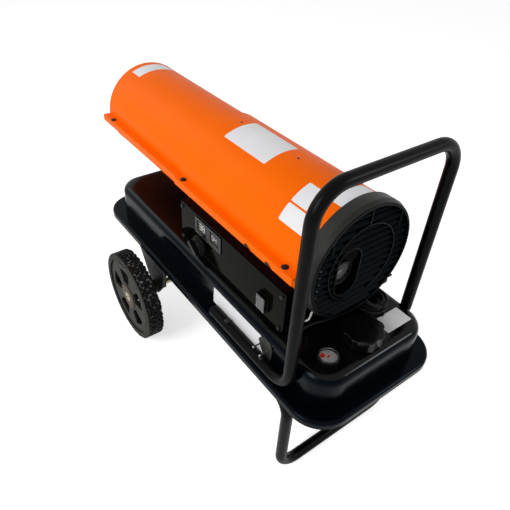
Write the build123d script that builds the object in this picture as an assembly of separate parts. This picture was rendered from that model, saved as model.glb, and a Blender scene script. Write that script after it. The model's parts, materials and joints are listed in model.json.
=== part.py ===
from build123d import *
import math
import os

os.makedirs("parts", exist_ok=True)

# Axes: +X to the fan end, -X to the hot-air mouth, the control panel faces -Y, +Z up from the floor.

# Clearances and common sheets
seat_gap = 0.2
fit_gap = 0.3
running_gap = 0.05
overrun = 20.0
casing_sheet = 1.2
tank_sheet = 1.5
box_sheet = 1.5

# Casing tube, a long narrow front and a slightly wider rear
axis_z = 514.0
casing_front_x = -483.0
casing_step_x = -96.0
casing_step_run = 6.0
casing_rear_x = 338.0
front_radius = 117.6
rear_radius = 122.1
flange_width = 19.0
lip_depth = 14.5
lip_bend_radius = 2.4
lip_notch_radius = 6.0
lip_notch_insets = (143.0, 78.0)
flange_screw_front_inset = 48.0
flange_screw_step_inset = 26.0
flange_screw_rear_inset = 48.0
flange_screw_reach = 11.4

# Small screws of the casing, the guard and the panels
screw_radius = 2.4
screw_head_radius = 4.8
screw_head_height = 3.2
screw_crown_radius = 3.8
screw_length = 12.0

# Fan guard
guard_front_x = 324.0
guard_rear_x = 359.0
guard_radius = 129.0
guard_rear_radius = 124.5
guard_taper_start_x = 348.0
guard_bore_radius = 119.5
guard_stop_gap = 0.3
louvre_pitch = 15.5
louvre_count = 15
louvre_depth = 8.0
louvre_thickness = 2.2
louvre_tilt = 30.0
grille_x = 353.0
rib_thickness = 2.2
rib_ring_radius = 83.5
gauge_window_y = -35.0
gauge_window_z = 506.0
gauge_window_radius = 30.5
gauge_window_half_height = 54.5
side_rib_y = 85.0
side_rib_low_z = 567.0
guard_screw_turns = (35.0, 145.0, 215.0, 325.0)
guard_screw_inset = 8.0

# Fuel tank: upper pan with a turned-down brim, lower pan closed under it
brim_front_x = -452.0
brim_rear_x = 483.0
brim_half_width = 183.0
brim_corner_radius = 75.0
brim_top_z = 268.0
brim_skirt = 18.0
brim_edge_radius = 7.0
pan_front_x = -415.0
pan_rear_x = 455.0
pan_half_width = 154.0
pan_corner_radius = 60.0
pan_top_z = 349.0
pan_draft = 1.4
pan_edge_radius = 19.0
low_pan_inset = 43.0
low_pan_bottom_z = 219.5
low_pan_corner_radius = 40.0
low_pan_edge_radius = 14.0

# Handle and foot frames, bent from one tube size
tube_radius = 12.5
tube_wall = 1.5
frame_half_span = 167.0
leg_front_x = 113.0
handle_x = 376.0
handle_top_z = 731.0
handle_low_bend = 50.0
handle_high_bend = 60.0
foot_x = 386.0
foot_bend = 50.0
plug_head_length = 2.5
plug_stem_length = 14.0
frame_bolt_xs = (168.0, 292.0)
frame_bolt_radius = 4.0
frame_bolt_head_radius = 6.5
frame_bolt_head_height = 4.0
frame_bolt_crown_radius = 4.2
frame_nut_radius = 7.2
frame_nut_height = 6.5
frame_bolt_tail = 3.0

# Wheels, axle and wheel bracket
wheel_x = -190.4
wheel_radius = 125.0
wheel_width = 43.4
wheel_outer_y = 249.8
tyre_bore_radius = 107.0
tyre_shoulder = 5.0
tread_groove_count = 22
tread_groove_width = 7.0
tread_groove_depth = 3.0
tread_groove_share = 0.42
tread_groove_skew = 28.0
rim_face_inset = 2.7
rim_ring_inner_radius = 99.0
rim_ring_half_width = 18.0
rim_web_thickness = 7.0
rim_hub_radius = 19.0
rim_window_inner_radius = 42.0
rim_window_outer_radius = 84.0
rim_window_half_turn = 19.0
rim_window_count = 5
rim_window_turn = 97.0
rim_window_fillet = 6.0
hub_plate_radius = 34.0
hub_plate_thickness = 2.0
hub_pocket_radius = 13.0
hub_pocket_depth = 14.0
axle_radius = 8.0
axle_end_radius = 6.0
axle_washer_radius = 11.5
axle_washer_thickness = 1.5
axle_nut_radius = 10.9
axle_nut_height = 6.0
axle_tail = 4.0
split_pin_radius = 1.5
split_pin_half_length = 10.0
bracket_sheet = 3.0
bracket_half_span = 165.0
bracket_front_x = -273.0
bracket_rear_x = -137.0
bracket_knee_x = -148.0
bracket_knee_z = 145.0
bracket_toe_x = -171.0
bracket_boss_radius = 22.0
bracket_lip = 12.0
bracket_bolt_inset = 25.0
bracket_bolt_y = 105.0
bracket_bolt_length = 9.0
inner_washer_thickness = 2.4

# Control box and its covers
box_front_x = -75.0
box_rear_x = 303.0
box_half_width = 132.5
box_top_z = 462.0
box_post_width = 16.0
box_rail_height = 7.0
panel_overhang = 6.0
panel_low_gap = 5.0
panel_top_gap = 1.0
panel_screw_inset = 6.5
panel_screw_low = 16.0
panel_screw_high = 13.5

# Display module in the panel
display_front_x = -11.0
display_rear_x = 92.0
display_low_z = 412.0
display_high_z = 455.0
display_proud = 2.0
display_rim = 2.0
display_recess = 1.2
display_back_y = -119.8
display_corner_radius = 2.0
display_left_share = (0.09, 0.43)
display_right_share = (0.60, 0.92)
display_height_share = (0.27, 0.88)

# Thermostat knob
knob_x = 5.0
knob_z = 382.0
knob_skirt_radius = 25.0
knob_skirt_height = 7.0
knob_body_radius = 21.5
knob_neck_radius = 19.0
knob_body_height = 14.0
knob_grip_length = 40.0
knob_grip_width = 11.0
knob_grip_height = 13.0
knob_grip_turn = 32.0
knob_grip_fillet = 3.0
knob_shaft_radius = 3.0
knob_shaft_length = 14.0
knob_air = 0.6

# Power switch
switch_x = 247.0
switch_z = 399.0
switch_half_width = 15.0
switch_half_height = 20.0
switch_bezel_proud = 3.0
switch_wall = 2.0
switch_opening_half_width = 11.0
switch_opening_half_height = 16.5
switch_body_depth = 22.0
rocker_half_width = 10.0
rocker_half_height = 15.0
rocker_pivot_depth = 2.0
rocker_front = 7.0
rocker_back = 4.0
rocker_dish = 2.0
rocker_rest_tilt = 7.0
rocker_pin_radius = 1.5
rocker_pin_reach = 2.4
switch_cover_wall = 1.2
switch_cover_rim = 1.2
switch_cover_depth = 9.0
switch_cover_fillet = 2.0

# Burner, seen from the fan as a disc at the rear of the chamber
chamber_front_x = -435.0
chamber_rear_x = 45.0
chamber_radius = 95.0
chamber_sheet = 1.2
flame_cone_radius = 62.0
flame_cone_length = 45.0
flame_cone_inset = 20.0
chamber_bracket_xs = (-380.0, 0.0)
chamber_bracket_turns = (90.0, 210.0, 330.0)
chamber_bracket_length = 30.0
chamber_bracket_thickness = 2.0
burner_disc_thickness = 2.0
burner_slot_start_share = 0.5
burner_slot_count = 8
burner_slot_radius = 33.0
burner_slot_length = 16.0
burner_slot_width = 5.0
burner_slot_turn = 30.0
nozzle_holder_radius = 14.0
nozzle_holder_length = 34.0
nozzle_radius = 7.0
nozzle_length = 15.0
nozzle_tip_radius = 3.0
nozzle_cone_length = 6.0
igniter_y = 24.0
igniter_radius = 4.5
igniter_collar_radius = 7.2
igniter_collar_length = 4.5
igniter_wire_radius = 1.1
igniter_wire_length = 15.0
igniter_front_length = 14.0
igniter_rear_length = 34.0
photocell_y = -40.0
photocell_radius = 8.0
photocell_length = 26.0

# Motor, fan and pump on one line
fan_x = 145.0
fan_hub_radius = 22.0
fan_hub_half_length = 11.0
fan_tip_radius = 107.0
fan_blade_count = 5
fan_blade_thickness = 2.2
fan_root_chord = 50.0
fan_tip_chord = 72.0
fan_root_pitch = 48.0
fan_tip_pitch = 24.0
shaft_radius = 5.0
shaft_front_x = 130.0
motor_front_x = 172.0
motor_rear_x = 279.5
motor_radius = 45.0
motor_bell_radius = 40.0
motor_bell_length = 14.0
motor_nose_radius = 15.0
motor_fin_count = 3
motor_fin_depth = 2.0
motor_fin_width = 4.0
motor_fin_pitch = 14.0
motor_bracket_xs = (195.0, 250.0)
motor_bracket_sheet = 3.0
motor_bracket_rim = 6.0
motor_bracket_half_width = 34.0
pump_length = 24.0
pump_radius = 40.0
pump_chamber_radius = 23.0
pump_chamber_offset = 2.4
pump_rotor_radius = 20.0
pump_rotor_length = 15.0
pump_cover_length = 18.0
pump_cover_edge = 5.0
pump_port_y = -34.0
pump_port_radius = 5.0
pump_port_low = 34.0
pump_adjuster_y = 16.0
pump_adjuster_z = 530.0
pump_adjuster_radius = 8.0
pump_adjuster_length = 9.0
filter_radius = 33.0
filter_length = 6.0

# Pump pressure gauge
pressure_y = -36.0
pressure_z = 497.0
pressure_radius = 25.5
pressure_bore_radius = 21.0
pressure_back_x = 326.0
pressure_dial_x = 338.5
pressure_front_x = 345.0
pressure_stem_radius = 7.0
pressure_lens_thickness = 1.5
pressure_lens_inset = 1.0
pressure_needle_length = 15.0
pressure_needle_tail = 6.0
pressure_needle_turn = 120.0
needle_width = 1.6
needle_thickness = 0.8
needle_lift = 1.0
needle_hub_radius = 2.6
needle_pin_radius = 1.0

# Electrical pieces in the box
transformer_x = 150.0
transformer_y = 75.0
transformer_size = (66.0, 52.0, 36.0)
transformer_post_radius = 5.0
transformer_post_length = 9.0
board_front_x = -40.0
board_rear_x = 150.0
board_low_z = 358.0
board_high_z = 440.0
board_thickness = 1.6
board_post_radius = 3.0
pot_radius = 11.0

# Filler, cap and gauge on the tank top
filler_x = 397.0
filler_y = -2.0
neck_radius = 30.0
neck_wall = 1.6
neck_top_z = 362.0
neck_collar_radius = 37.0
neck_drop = 9.0
strainer_radius = 26.0
strainer_rim_radius = 28.1
strainer_depth = 62.0
strainer_sheet = 0.8
strainer_rim_height = 2.0
strainer_slot_rows = 2
strainer_slot_count = 6
strainer_slot_width = 8.0
strainer_slot_height = 16.0
strainer_slot_pitch = 22.0
strainer_first_slot = 16.0
gasket_height = 2.0
gasket_inner_radius = 24.0
gasket_radius = 31.6
cap_radius = 44.0
cap_low_z = 352.5
cap_high_z = 378.0
cap_crown_height = 3.0
cap_crown_radius = 21.0
cap_crown_wall = 3.0
cap_bore_radius = 33.0
cap_lobe_count = 8
cap_lobe_radius = 30.0
cap_lobe_bite = 3.5
cap_edge_radius = 2.0
fuel_gauge_x = 400.0
fuel_gauge_y = -94.0
fuel_gauge_radius = 21.5
fuel_gauge_height = 10.0
fuel_gauge_bore_radius = 18.0
fuel_gauge_recess = 6.0
fuel_gauge_edge = 1.5
fuel_gauge_stem_radius = 7.0
fuel_gauge_lens_thickness = 1.5
fuel_needle_length = 13.0
fuel_needle_tail = 4.0
float_pivot_z = 285.0
float_arm_length = 64.0
float_arm_radius = 1.8
float_radius = 12.0
float_length = 30.0
float_yoke_gap = 5.0
float_yoke_sheet = 2.0
float_yoke_width = 8.0
float_pin_radius = 1.5
float_rest_tilt = 0.0

# Fuel pickup and inner hoses
pickup_x = 103.0
pickup_y = -28.0
pickup_radius = 4.0
pickup_flange_radius = 12.0
pickup_flange_height = 4.0
pickup_top_z = 364.0
pickup_filter_radius = 13.0
pickup_filter_length = 22.0
pickup_low_gap = 8.0
hose_radius = 2.0
hose_sides = 8
hose_hole_radius = 3.5
hose_notch_radius = 10.0
fuel_hose_route = ((103.0, -28.0, 364.0), (103.0, -28.0, 425.0), (103.0, 0.0, 500.0),
                   (100.0, 0.0, 514.0), (81.0, 0.0, 514.0))
fuel_hose_bends = (28.0, 10.0, 6.0)
air_hose_route = ((291.5, -34.0, 480.0), (291.5, -34.0, 452.0), (313.0, -60.0, 424.0), (317.0, -66.0, 394.0),
                  (320.0, -80.0, 366.0), (303.0, -100.0, 390.0), (262.0, -92.0, 376.0), (215.0, -45.0, 364.0),
                  (140.0, 14.0, 366.0), (67.0, 14.0, 368.0), (67.0, 14.0, 430.0), (67.0, 0.0, 499.5))
air_hose_bends = (24.0, 24.0, 30.0, 9.0, 14.0, 30.0, 40.0, 40.0, 26.0, 60.0)

# Mains cord, coiled on the tank top with its plug on the coil
cord_radius = 3.5
cord_sides = 8
gland_y = -112.0
gland_z = 360.0
gland_hex_radius = 9.0
gland_hex_length = 5.0
gland_thread_radius = 6.0
gland_elbow_x = 321.0
gland_elbow_radius = 7.5
gland_nose_length = 26.0
gland_tip_radius = 4.6
gland_nut_length = 5.0
lead_route = ((321.0, -86.0, 360.0), (321.0, -64.0, 360.0), (325.0, -40.0, 353.2), (329.0, -14.0, 352.9),
              (320.0, 14.0, 352.9), (308.0, 48.0, 352.9), (308.0, 71.0, 352.9))
coil_start = (308.0, 78.0, 352.9)
coil_radius = 30.5
coil_step = 4.0
coil_layer_pitch = 7.6
coil_share = (0, 1, 2, 3, 2, 1, 0, -1, 0, 1, 2, 3, 2, 1, 0)
coil_climb_share = (3, 7, 11)
plug_x = 322.6
plug_z = 397.2
mains_plug_boot_length = 14.0
mains_plug_boot_radius = 6.5
mains_plug_neck_length = 12.0
mains_plug_neck_radius = 10.0
mains_plug_head_length = 16.0
mains_plug_head_radius = 17.5
bend_share = 0.45
mains_plug_pin_radius = 2.4
mains_plug_pin_length = 19.0
mains_plug_pin_spread = 9.5
mains_plug_edge = 2.5


def block(x0, x1, y0, y1, z0, z1):
    """Box between two values on each axis."""
    return Pos((x0 + x1) / 2, (y0 + y1) / 2, (z0 + z1) / 2) * Box(abs(x1 - x0), abs(y1 - y0), abs(z1 - z0))


def rod(radius, start, end):
    """Cylinder from one point to another."""
    along = Vector(*end) - Vector(*start)
    return extrude(Plane(origin=start, z_dir=along) * Circle(radius), amount=along.length)


def sleeve(outer, inner, start, end):
    """Tube from one point to another."""
    return rod(outer, start, end) - rod(inner, start, end)


def cone(start_radius, end_radius, start, end):
    """Frustum from one point to another."""
    along = Vector(*end) - Vector(*start)
    seat = Plane(origin=start, z_dir=along)
    return seat * Pos(0, 0, along.length / 2) * Cone(start_radius, end_radius, along.length)


def hexagon_rod(radius, start, end):
    """Six-sided bar whose corners lie on the radius."""
    along = Vector(*end) - Vector(*start)
    return extrude(Plane(origin=start, z_dir=along) * RegularPolygon(radius, 6), amount=along.length)


def outline_face(points):
    """Flat face inside a closed run of points."""
    return make_face(Polyline(*points, close=True))


def turned_x(points, y=0.0, z=axis_z, arc=360.0):
    """Body of revolution about a line along X, from points of place and radius."""
    face = Pos(0, y, z) * (Plane.XZ * outline_face(points))
    return revolve(face, Axis((0, y, z), (1, 0, 0)), arc)


def turned_y(points, x, z):
    """Body of revolution about a line along Y, from points of place and radius."""
    face = Pos(x, 0, z) * (Plane.YZ * outline_face(points))
    return revolve(face, Axis((x, 0, z), (0, 1, 0)), 360)


def turned_z(points, x, y):
    """Body of revolution about a line along Z, from points of radius and height."""
    face = Pos(x, y, 0) * (Plane.XZ * outline_face(points))
    return revolve(face, Axis((x, y, 0), (0, 0, 1)), 360)


def rounded_slab(x0, x1, half_width, corner, z0, z1, taper=0.0):
    """Plate with rounded plan corners between two heights."""
    plan = Pos((x0 + x1) / 2, 0, z0) * RectangleRounded(x1 - x0, 2 * half_width, corner)
    return extrude(plan, amount=z1 - z0, taper=taper)


def pan_screw(at, direction):
    """Pan-head screw whose head sits at a point and whose shank runs back from it."""
    out = Vector(*direction).normalized()
    seat = Vector(*at)
    head = cone(screw_head_radius, screw_crown_radius, seat, seat + out * screw_head_height)
    return head + rod(screw_radius, seat - out * screw_length, seat)


def write(name, shape):
    """Save one sub-part."""
    export_step(shape, f"parts/{name}.step")


def casing_stations():
    """Places and outer radii along the stepped tube, mouth first."""
    return [(casing_front_x, front_radius), (casing_step_x, front_radius),
            (casing_step_x + casing_step_run, rear_radius), (casing_rear_x, rear_radius)]


def strip_plan(inner_offset, outer_offset):
    """Plan of a strip along the +Y side of the stepped tube, from the mouth to just before the guard."""
    stations = casing_stations()[:-1] + [(guard_front_x - fit_gap, rear_radius)]
    near = [(x, r + inner_offset) for x, r in stations]
    far = [(x, r + outer_offset) for x, r in reversed(stations)]
    return Pos(0, 0, axis_z) * outline_face(near + far)


def half_tube(side):
    """Upper (1) or lower (-1) half of the stepped tube."""
    inner = [(x, r - casing_sheet) for x, r in reversed(casing_stations())]
    wall = Pos(0, 0, axis_z) * outline_face(casing_stations() + inner)
    return revolve(wall, Axis((0, 0, axis_z), (side, 0, 0)), 180)


flange_screw_xs = (casing_front_x + flange_screw_front_inset, casing_step_x + flange_screw_step_inset,
                   casing_rear_x - flange_screw_rear_inset)
flange_screw_y = front_radius + flange_screw_reach


def flange_holes():
    """Cutters for the screws through both flanges."""
    low = axis_z - overrun
    high = axis_z + overrun
    return [rod(screw_radius + fit_gap, (x, side * flange_screw_y, low), (x, side * flange_screw_y, high))
            for x in flange_screw_xs for side in (-1, 1)]


def guard_screw_seats():
    """Outward direction and head seat of each guard screw on the guard's skirt."""
    x = guard_front_x + guard_screw_inset
    seats = []
    for turn in guard_screw_turns:
        out = Vector(0, math.cos(math.radians(turn)), math.sin(math.radians(turn)))
        seats.append((Vector(x, 0, axis_z) + out * guard_radius, out))
    return seats


def guard_screw_holes():
    """Cutters for the screws through the guard's skirt and the casing under it."""
    return [rod(screw_radius + fit_gap, seat - out * overrun, seat + out * overrun) for seat, out in guard_screw_seats()]


def make_upper_shell():
    angle = Pos(0, 0, -lip_depth) * extrude(strip_plan(-casing_sheet / 2, flange_width), amount=lip_depth + casing_sheet)
    top = angle.edges().group_by(Axis.Z)[-1]
    outer = [e for e in top if e.center().Y > front_radius + flange_width - lip_bend_radius]
    angle = fillet(outer, lip_bend_radius)
    under = strip_plan(-flange_width, flange_width - casing_sheet)
    angle -= Pos(0, 0, -lip_depth - overrun) * extrude(under, amount=lip_depth + overrun)
    shell = half_tube(1) + angle
    near_angle = mirror(angle, about=Plane.XZ)
    for inset in lip_notch_insets:
        x = casing_rear_x - inset
        y = -(rear_radius + flange_width)
        near_angle -= rod(lip_notch_radius, (x, y - overrun, axis_z - lip_depth), (x, y + overrun / 2, axis_z - lip_depth))
    return shell + near_angle - flange_holes() - guard_screw_holes()


def make_lower_shell():
    edge = flange_width - casing_sheet - fit_gap
    flange = Pos(0, 0, -casing_sheet) * extrude(strip_plan(-casing_sheet / 2, edge), amount=casing_sheet)
    shell = half_tube(-1) + flange + mirror(flange, about=Plane.XZ)
    low = axis_z - rear_radius - overrun
    holes = [(fuel_hose_route[0][0], fuel_hose_route[0][1]), (air_hose_route[9][0], air_hose_route[9][1])]
    for x, y in holes:
        shell -= rod(hose_hole_radius, (x, y, low), (x, y, axis_z - rear_radius / 2))
    shell -= rod(hose_hole_radius, air_hose_route[2], air_hose_route[3])
    return shell - flange_holes() - guard_screw_holes()


def make_casing_screws():
    top = axis_z + casing_sheet
    screws = [pan_screw((x, side * flange_screw_y, top), (0, 0, 1)) for x in flange_screw_xs for side in (-1, 1)]
    screws += [pan_screw(seat, out) for seat, out in guard_screw_seats()]
    face = box_half_width + box_sheet
    screws += [pan_screw((x, side * face, z), (0, side, 0)) for x, z in panel_screw_places() for side in (-1, 1)]
    return Compound(children=screws)


def make_fan_guard():
    bore = rear_radius + seat_gap
    stop_x = casing_rear_x + guard_stop_gap
    outline = [(guard_front_x, bore), (guard_front_x, guard_radius), (guard_taper_start_x, guard_radius),
               (guard_rear_x, guard_rear_radius), (guard_rear_x, guard_bore_radius), (stop_x, guard_bore_radius),
               (stop_x, bore)]
    guard = turned_x(outline)
    rim = guard.edges().filter_by(GeomType.CIRCLE)
    guard = fillet([e for e in rim if abs(e.radius - guard_rear_radius) < seat_gap], rib_thickness)
    room = rod(guard_bore_radius + rib_thickness, (grille_x - louvre_depth, 0, axis_z), (grille_x + louvre_depth, 0, axis_z))
    slats = []
    for i in range(louvre_count):
        z = axis_z + (i - (louvre_count - 1) / 2) * louvre_pitch
        slat = Rot(0, louvre_tilt, 0) * Box(louvre_depth, 2 * guard_radius, louvre_thickness)
        slats.append(Pos(grille_x, 0, z) * slat)
    half_depth = louvre_depth / 2
    back_x = grille_x - half_depth
    front_x = grille_x + half_depth
    ring = sleeve(rib_ring_radius + rib_thickness / 2, rib_ring_radius - rib_thickness / 2,
                  (back_x, 0, axis_z), (front_x, 0, axis_z))
    centre_rib = block(back_x, front_x, -rib_thickness / 2, rib_thickness / 2, axis_z + rib_ring_radius,
                       axis_z + guard_radius)
    side_ribs = [block(back_x, front_x, y - rib_thickness / 2, y + rib_thickness / 2, side_rib_low_z,
                       axis_z + guard_radius) for y in (-side_rib_y, side_rib_y)]
    window = gauge_window_plan(gauge_window_radius, gauge_window_half_height)
    inner = gauge_window_plan(gauge_window_radius - rib_thickness, gauge_window_half_height - rib_thickness)
    surround = Pos(back_x, 0, 0) * extrude(window, amount=louvre_depth)
    grille = room & (slats[0] + slats[1:] + ring + centre_rib + side_ribs + surround)
    guard = guard + grille
    guard -= Pos(back_x - overrun, 0, 0) * extrude(inner, amount=louvre_depth + 2 * overrun)
    return guard - guard_screw_holes()


def gauge_window_plan(radius, half_height):
    """Upright slot outline of the guard's window for the pressure gauge, facing +X."""
    slot = Rot(0, 0, 90) * SlotOverall(2 * half_height, 2 * radius)
    return Pos(0, gauge_window_y, gauge_window_z) * (Plane.YZ * slot)


def pan_block(inset, z0, z1):
    """Block of the upper pan's shape, inset from its outside."""
    corner = pan_corner_radius - inset
    body = rounded_slab(pan_front_x + inset, pan_rear_x - inset, pan_half_width - inset, corner, z0, z1, pan_draft)
    return fillet(body.edges().group_by(Axis.Z)[-1], pan_edge_radius - inset)


def brim_block(inset):
    """Block of the brim's shape, inset from its outside and open below."""
    low = brim_top_z - brim_skirt - (overrun if inset else 0)
    body = rounded_slab(brim_front_x + inset, brim_rear_x - inset, brim_half_width - inset, brim_corner_radius - inset,
                        low, brim_top_z - inset)
    return fillet(body.edges().group_by(Axis.Z)[-1], brim_edge_radius - inset)


def frame_bolt_places():
    """Plan places of the bolts through both frames and the brim."""
    return [(x, side * frame_half_span) for x in frame_bolt_xs for side in (-1, 1)]


def frame_bolt_holes():
    """Cutters for the bolts through the brim."""
    return [rod(frame_bolt_radius + fit_gap, (x, y, brim_top_z - overrun), (x, y, brim_top_z + overrun))
            for x, y in frame_bolt_places()]


def make_tank_upper():
    outer = brim_block(0) + pan_block(0, brim_top_z - brim_edge_radius, pan_top_z)
    tank = outer - brim_block(tank_sheet) - pan_block(tank_sheet, brim_top_z - brim_edge_radius, pan_top_z - tank_sheet)
    low = pan_top_z - overrun
    high = pan_top_z + overrun
    openings = [(filler_x, filler_y, neck_radius), (fuel_gauge_x, fuel_gauge_y, fuel_gauge_stem_radius),
                (pickup_x, pickup_y, pickup_radius)]
    for x, y, radius in openings:
        tank -= rod(radius + fit_gap, (x, y, low), (x, y, high))
    return tank - frame_bolt_holes()


def bracket_bolt_places():
    """Plan places of the bolts that hold the wheel bracket under the tank."""
    return [(x, y) for x in (bracket_front_x + bracket_bolt_inset, bracket_rear_x - bracket_bolt_inset)
            for y in (-bracket_bolt_y, bracket_bolt_y)]


def low_pan_block(inset, z0, z1):
    """Block of the lower pan's shape, inset from its outside."""
    reach = low_pan_inset + inset
    body = rounded_slab(brim_front_x + reach, brim_rear_x - reach, brim_half_width - reach,
                        low_pan_corner_radius - inset, z0, z1)
    return fillet(body.edges().group_by(Axis.Z)[0], low_pan_edge_radius - inset)


def make_tank_lower():
    flange_top = brim_top_z - tank_sheet
    reach = tank_sheet + brim_edge_radius + fit_gap
    flange = rounded_slab(brim_front_x + reach, brim_rear_x - reach, brim_half_width - reach, brim_corner_radius - reach,
                          flange_top - tank_sheet, flange_top)
    pan = flange + low_pan_block(0, low_pan_bottom_z, flange_top)
    pan -= low_pan_block(tank_sheet, low_pan_bottom_z + tank_sheet, flange_top + overrun)
    floor = low_pan_bottom_z + tank_sheet
    for x, y in bracket_bolt_places():
        boss_top = floor + bracket_bolt_length + tank_sheet
        pan += rod(2 * frame_bolt_radius, (x, y, floor), (x, y, boss_top))
        pan -= rod(frame_bolt_radius + fit_gap, (x, y, low_pan_bottom_z - overrun), (x, y, boss_top - tank_sheet))
    return pan - frame_bolt_holes()


def bent_tube(points, bends):
    """Round tube bent along a run of points."""
    path = FilletPolyline(*points, radius=bends)
    section = Plane(origin=points[0], z_dir=Vector(*points[1]) - Vector(*points[0]))
    return sweep(section * (Circle(tube_radius) - Circle(tube_radius - tube_wall)), path=path)


handle_leg_z = brim_top_z + tube_radius
foot_leg_z = brim_top_z - 2 * tank_sheet - tube_radius


def frame_route(x, leg_z, cross_z):
    """Points of a frame: leg, upright, crossbar, upright, leg."""
    near = -frame_half_span
    far = frame_half_span
    return [(leg_front_x, near, leg_z), (x, near, leg_z), (x, near, cross_z), (x, far, cross_z), (x, far, leg_z),
            (leg_front_x, far, leg_z)]


def make_handle_frame():
    bends = [handle_low_bend, handle_high_bend, handle_high_bend, handle_low_bend]
    frame = bent_tube(frame_route(handle_x, handle_leg_z, handle_top_z), bends)
    holes = [rod(frame_bolt_radius + fit_gap, (x, y, handle_leg_z - overrun), (x, y, handle_leg_z + overrun))
             for x, y in frame_bolt_places()]
    return frame - holes


def make_foot_frame():
    frame = bent_tube(frame_route(foot_x, foot_leg_z, tube_radius), [foot_bend] * 4)
    holes = [rod(frame_bolt_radius + fit_gap, (x, y, foot_leg_z - overrun), (x, y, foot_leg_z + overrun))
             for x, y in frame_bolt_places()]
    return frame - holes


def make_tube_plugs():
    plugs = []
    for z in (handle_leg_z, foot_leg_z):
        for y in (-frame_half_span, frame_half_span):
            end = (leg_front_x - plug_head_length, y, z)
            head = cone(tube_radius, tube_radius - tube_wall, (leg_front_x, y, z), end)
            stem = rod(tube_radius - tube_wall - seat_gap, (leg_front_x, y, z), (leg_front_x + plug_stem_length, y, z))
            plugs.append(head + stem)
    return Compound(children=plugs)


def hex_bolt(head_radius, head_height, radius, seat, end):
    """Bolt with a six-sided head beyond its seat and a shank to its end."""
    out = (Vector(*seat) - Vector(*end)).normalized()
    head = hexagon_rod(head_radius, seat, tuple(Vector(*seat) + out * head_height))
    return head + rod(radius, end, seat)


def make_frame_fasteners():
    pieces = []
    leg_top = handle_leg_z + tube_radius
    leg_low = foot_leg_z - tube_radius
    nut_low = leg_low - frame_nut_height
    for x, y in frame_bolt_places():
        crown = (x, y, leg_top + frame_bolt_head_height)
        head = cone(frame_bolt_head_radius, frame_bolt_crown_radius, (x, y, leg_top), crown)
        pieces.append(head + rod(frame_bolt_radius, (x, y, nut_low - frame_bolt_tail), (x, y, leg_top)))
        nut = hexagon_rod(frame_nut_radius, (x, y, nut_low), (x, y, leg_low))
        pieces.append(nut - rod(frame_bolt_radius + running_gap, (x, y, nut_low - overrun), (x, y, leg_low + overrun)))
    web_low = low_pan_bottom_z - bracket_sheet
    for x, y in bracket_bolt_places():
        seat = (x, y, web_low)
        end = (x, y, low_pan_bottom_z + bracket_bolt_length)
        pieces.append(hex_bolt(frame_nut_radius, frame_nut_height, frame_bolt_radius, seat, end))
    return Compound(children=pieces)


def make_wheel_bracket():
    web_top = low_pan_bottom_z
    corners = [(bracket_front_x, web_top), (bracket_rear_x, web_top), (bracket_knee_x, bracket_knee_z),
               (bracket_toe_x, wheel_radius)]
    edges = Polyline(*corners, close=True).edges() + (Pos(wheel_x, wheel_radius) * Circle(bracket_boss_radius)).edges()
    cheek = make_hull(edges)
    inner = bracket_half_span - bracket_sheet
    near = extrude(Pos(0, -inner, 0) * (Plane.XZ * cheek), amount=bracket_sheet)
    bracket = near + mirror(near, about=Plane.XZ)
    bracket += block(bracket_front_x, bracket_rear_x, -bracket_half_span, bracket_half_span, web_top - bracket_sheet,
                     web_top)
    rear_edge = [(bracket_rear_x, web_top), (bracket_knee_x, bracket_knee_z),
                 (bracket_knee_x - bracket_sheet, bracket_knee_z), (bracket_rear_x - bracket_sheet, web_top)]
    lip_face = Pos(0, -bracket_half_span + bracket_lip, 0) * (Plane.XZ * outline_face(rear_edge))
    lip = extrude(lip_face, amount=bracket_lip)
    bracket += lip
    bracket += mirror(lip, about=Plane.XZ)
    bracket -= rod(axle_radius + seat_gap, (wheel_x, -bracket_half_span - overrun, wheel_radius),
                   (wheel_x, bracket_half_span + overrun, wheel_radius))
    for x, y in bracket_bolt_places():
        bracket -= rod(frame_bolt_radius + fit_gap, (x, y, web_top - overrun), (x, y, web_top + overrun))
    return bracket


wheel_mid_y = wheel_outer_y - wheel_width / 2
web_face_y = wheel_outer_y - rim_face_inset
pocket_floor_y = web_face_y - hub_pocket_depth
shoulder_y = pocket_floor_y + fit_gap
nut_seat_y = shoulder_y + axle_washer_thickness
nut_end_y = nut_seat_y + axle_nut_height
axle_end_y = nut_end_y + axle_tail
hub_inner_y = bracket_half_span + fit_gap + inner_washer_thickness + fit_gap


def on_side(shape, side):
    """The shape as built on the +Y side, or its mirror image on the -Y side."""
    return shape if side > 0 else mirror(shape, about=Plane.XZ)


def make_tyre(side):
    half = wheel_width / 2
    y0 = wheel_mid_y - half
    y1 = wheel_mid_y + half
    outline = [(y0, tyre_bore_radius), (y0, wheel_radius), (y1, wheel_radius), (y1, tyre_bore_radius)]
    face = outline_face(outline)
    face = chamfer(face.vertices().group_by(Axis.Y)[-1], tyre_shoulder)
    tyre = revolve(Pos(wheel_x, 0, wheel_radius) * (Plane.YZ * face), Axis((wheel_x, 0, wheel_radius), (0, 1, 0)), 360)
    reach = wheel_width * tread_groove_share
    grooves = []
    for i in range(tread_groove_count):
        for edge, lean, start in ((y0, 1, 0.0), (y1, -1, 0.5)):
            turn = (i + start) * 360 / tread_groove_count
            cutter = Box(tread_groove_width, reach, 2 * tread_groove_depth)
            cutter = Pos(0, edge + lean * reach / 2, wheel_radius) * Rot(0, 0, lean * tread_groove_skew) * cutter
            grooves.append(Pos(wheel_x, 0, wheel_radius) * Rot(0, turn, 0) * cutter)
    return on_side(tyre - grooves, side)


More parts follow.
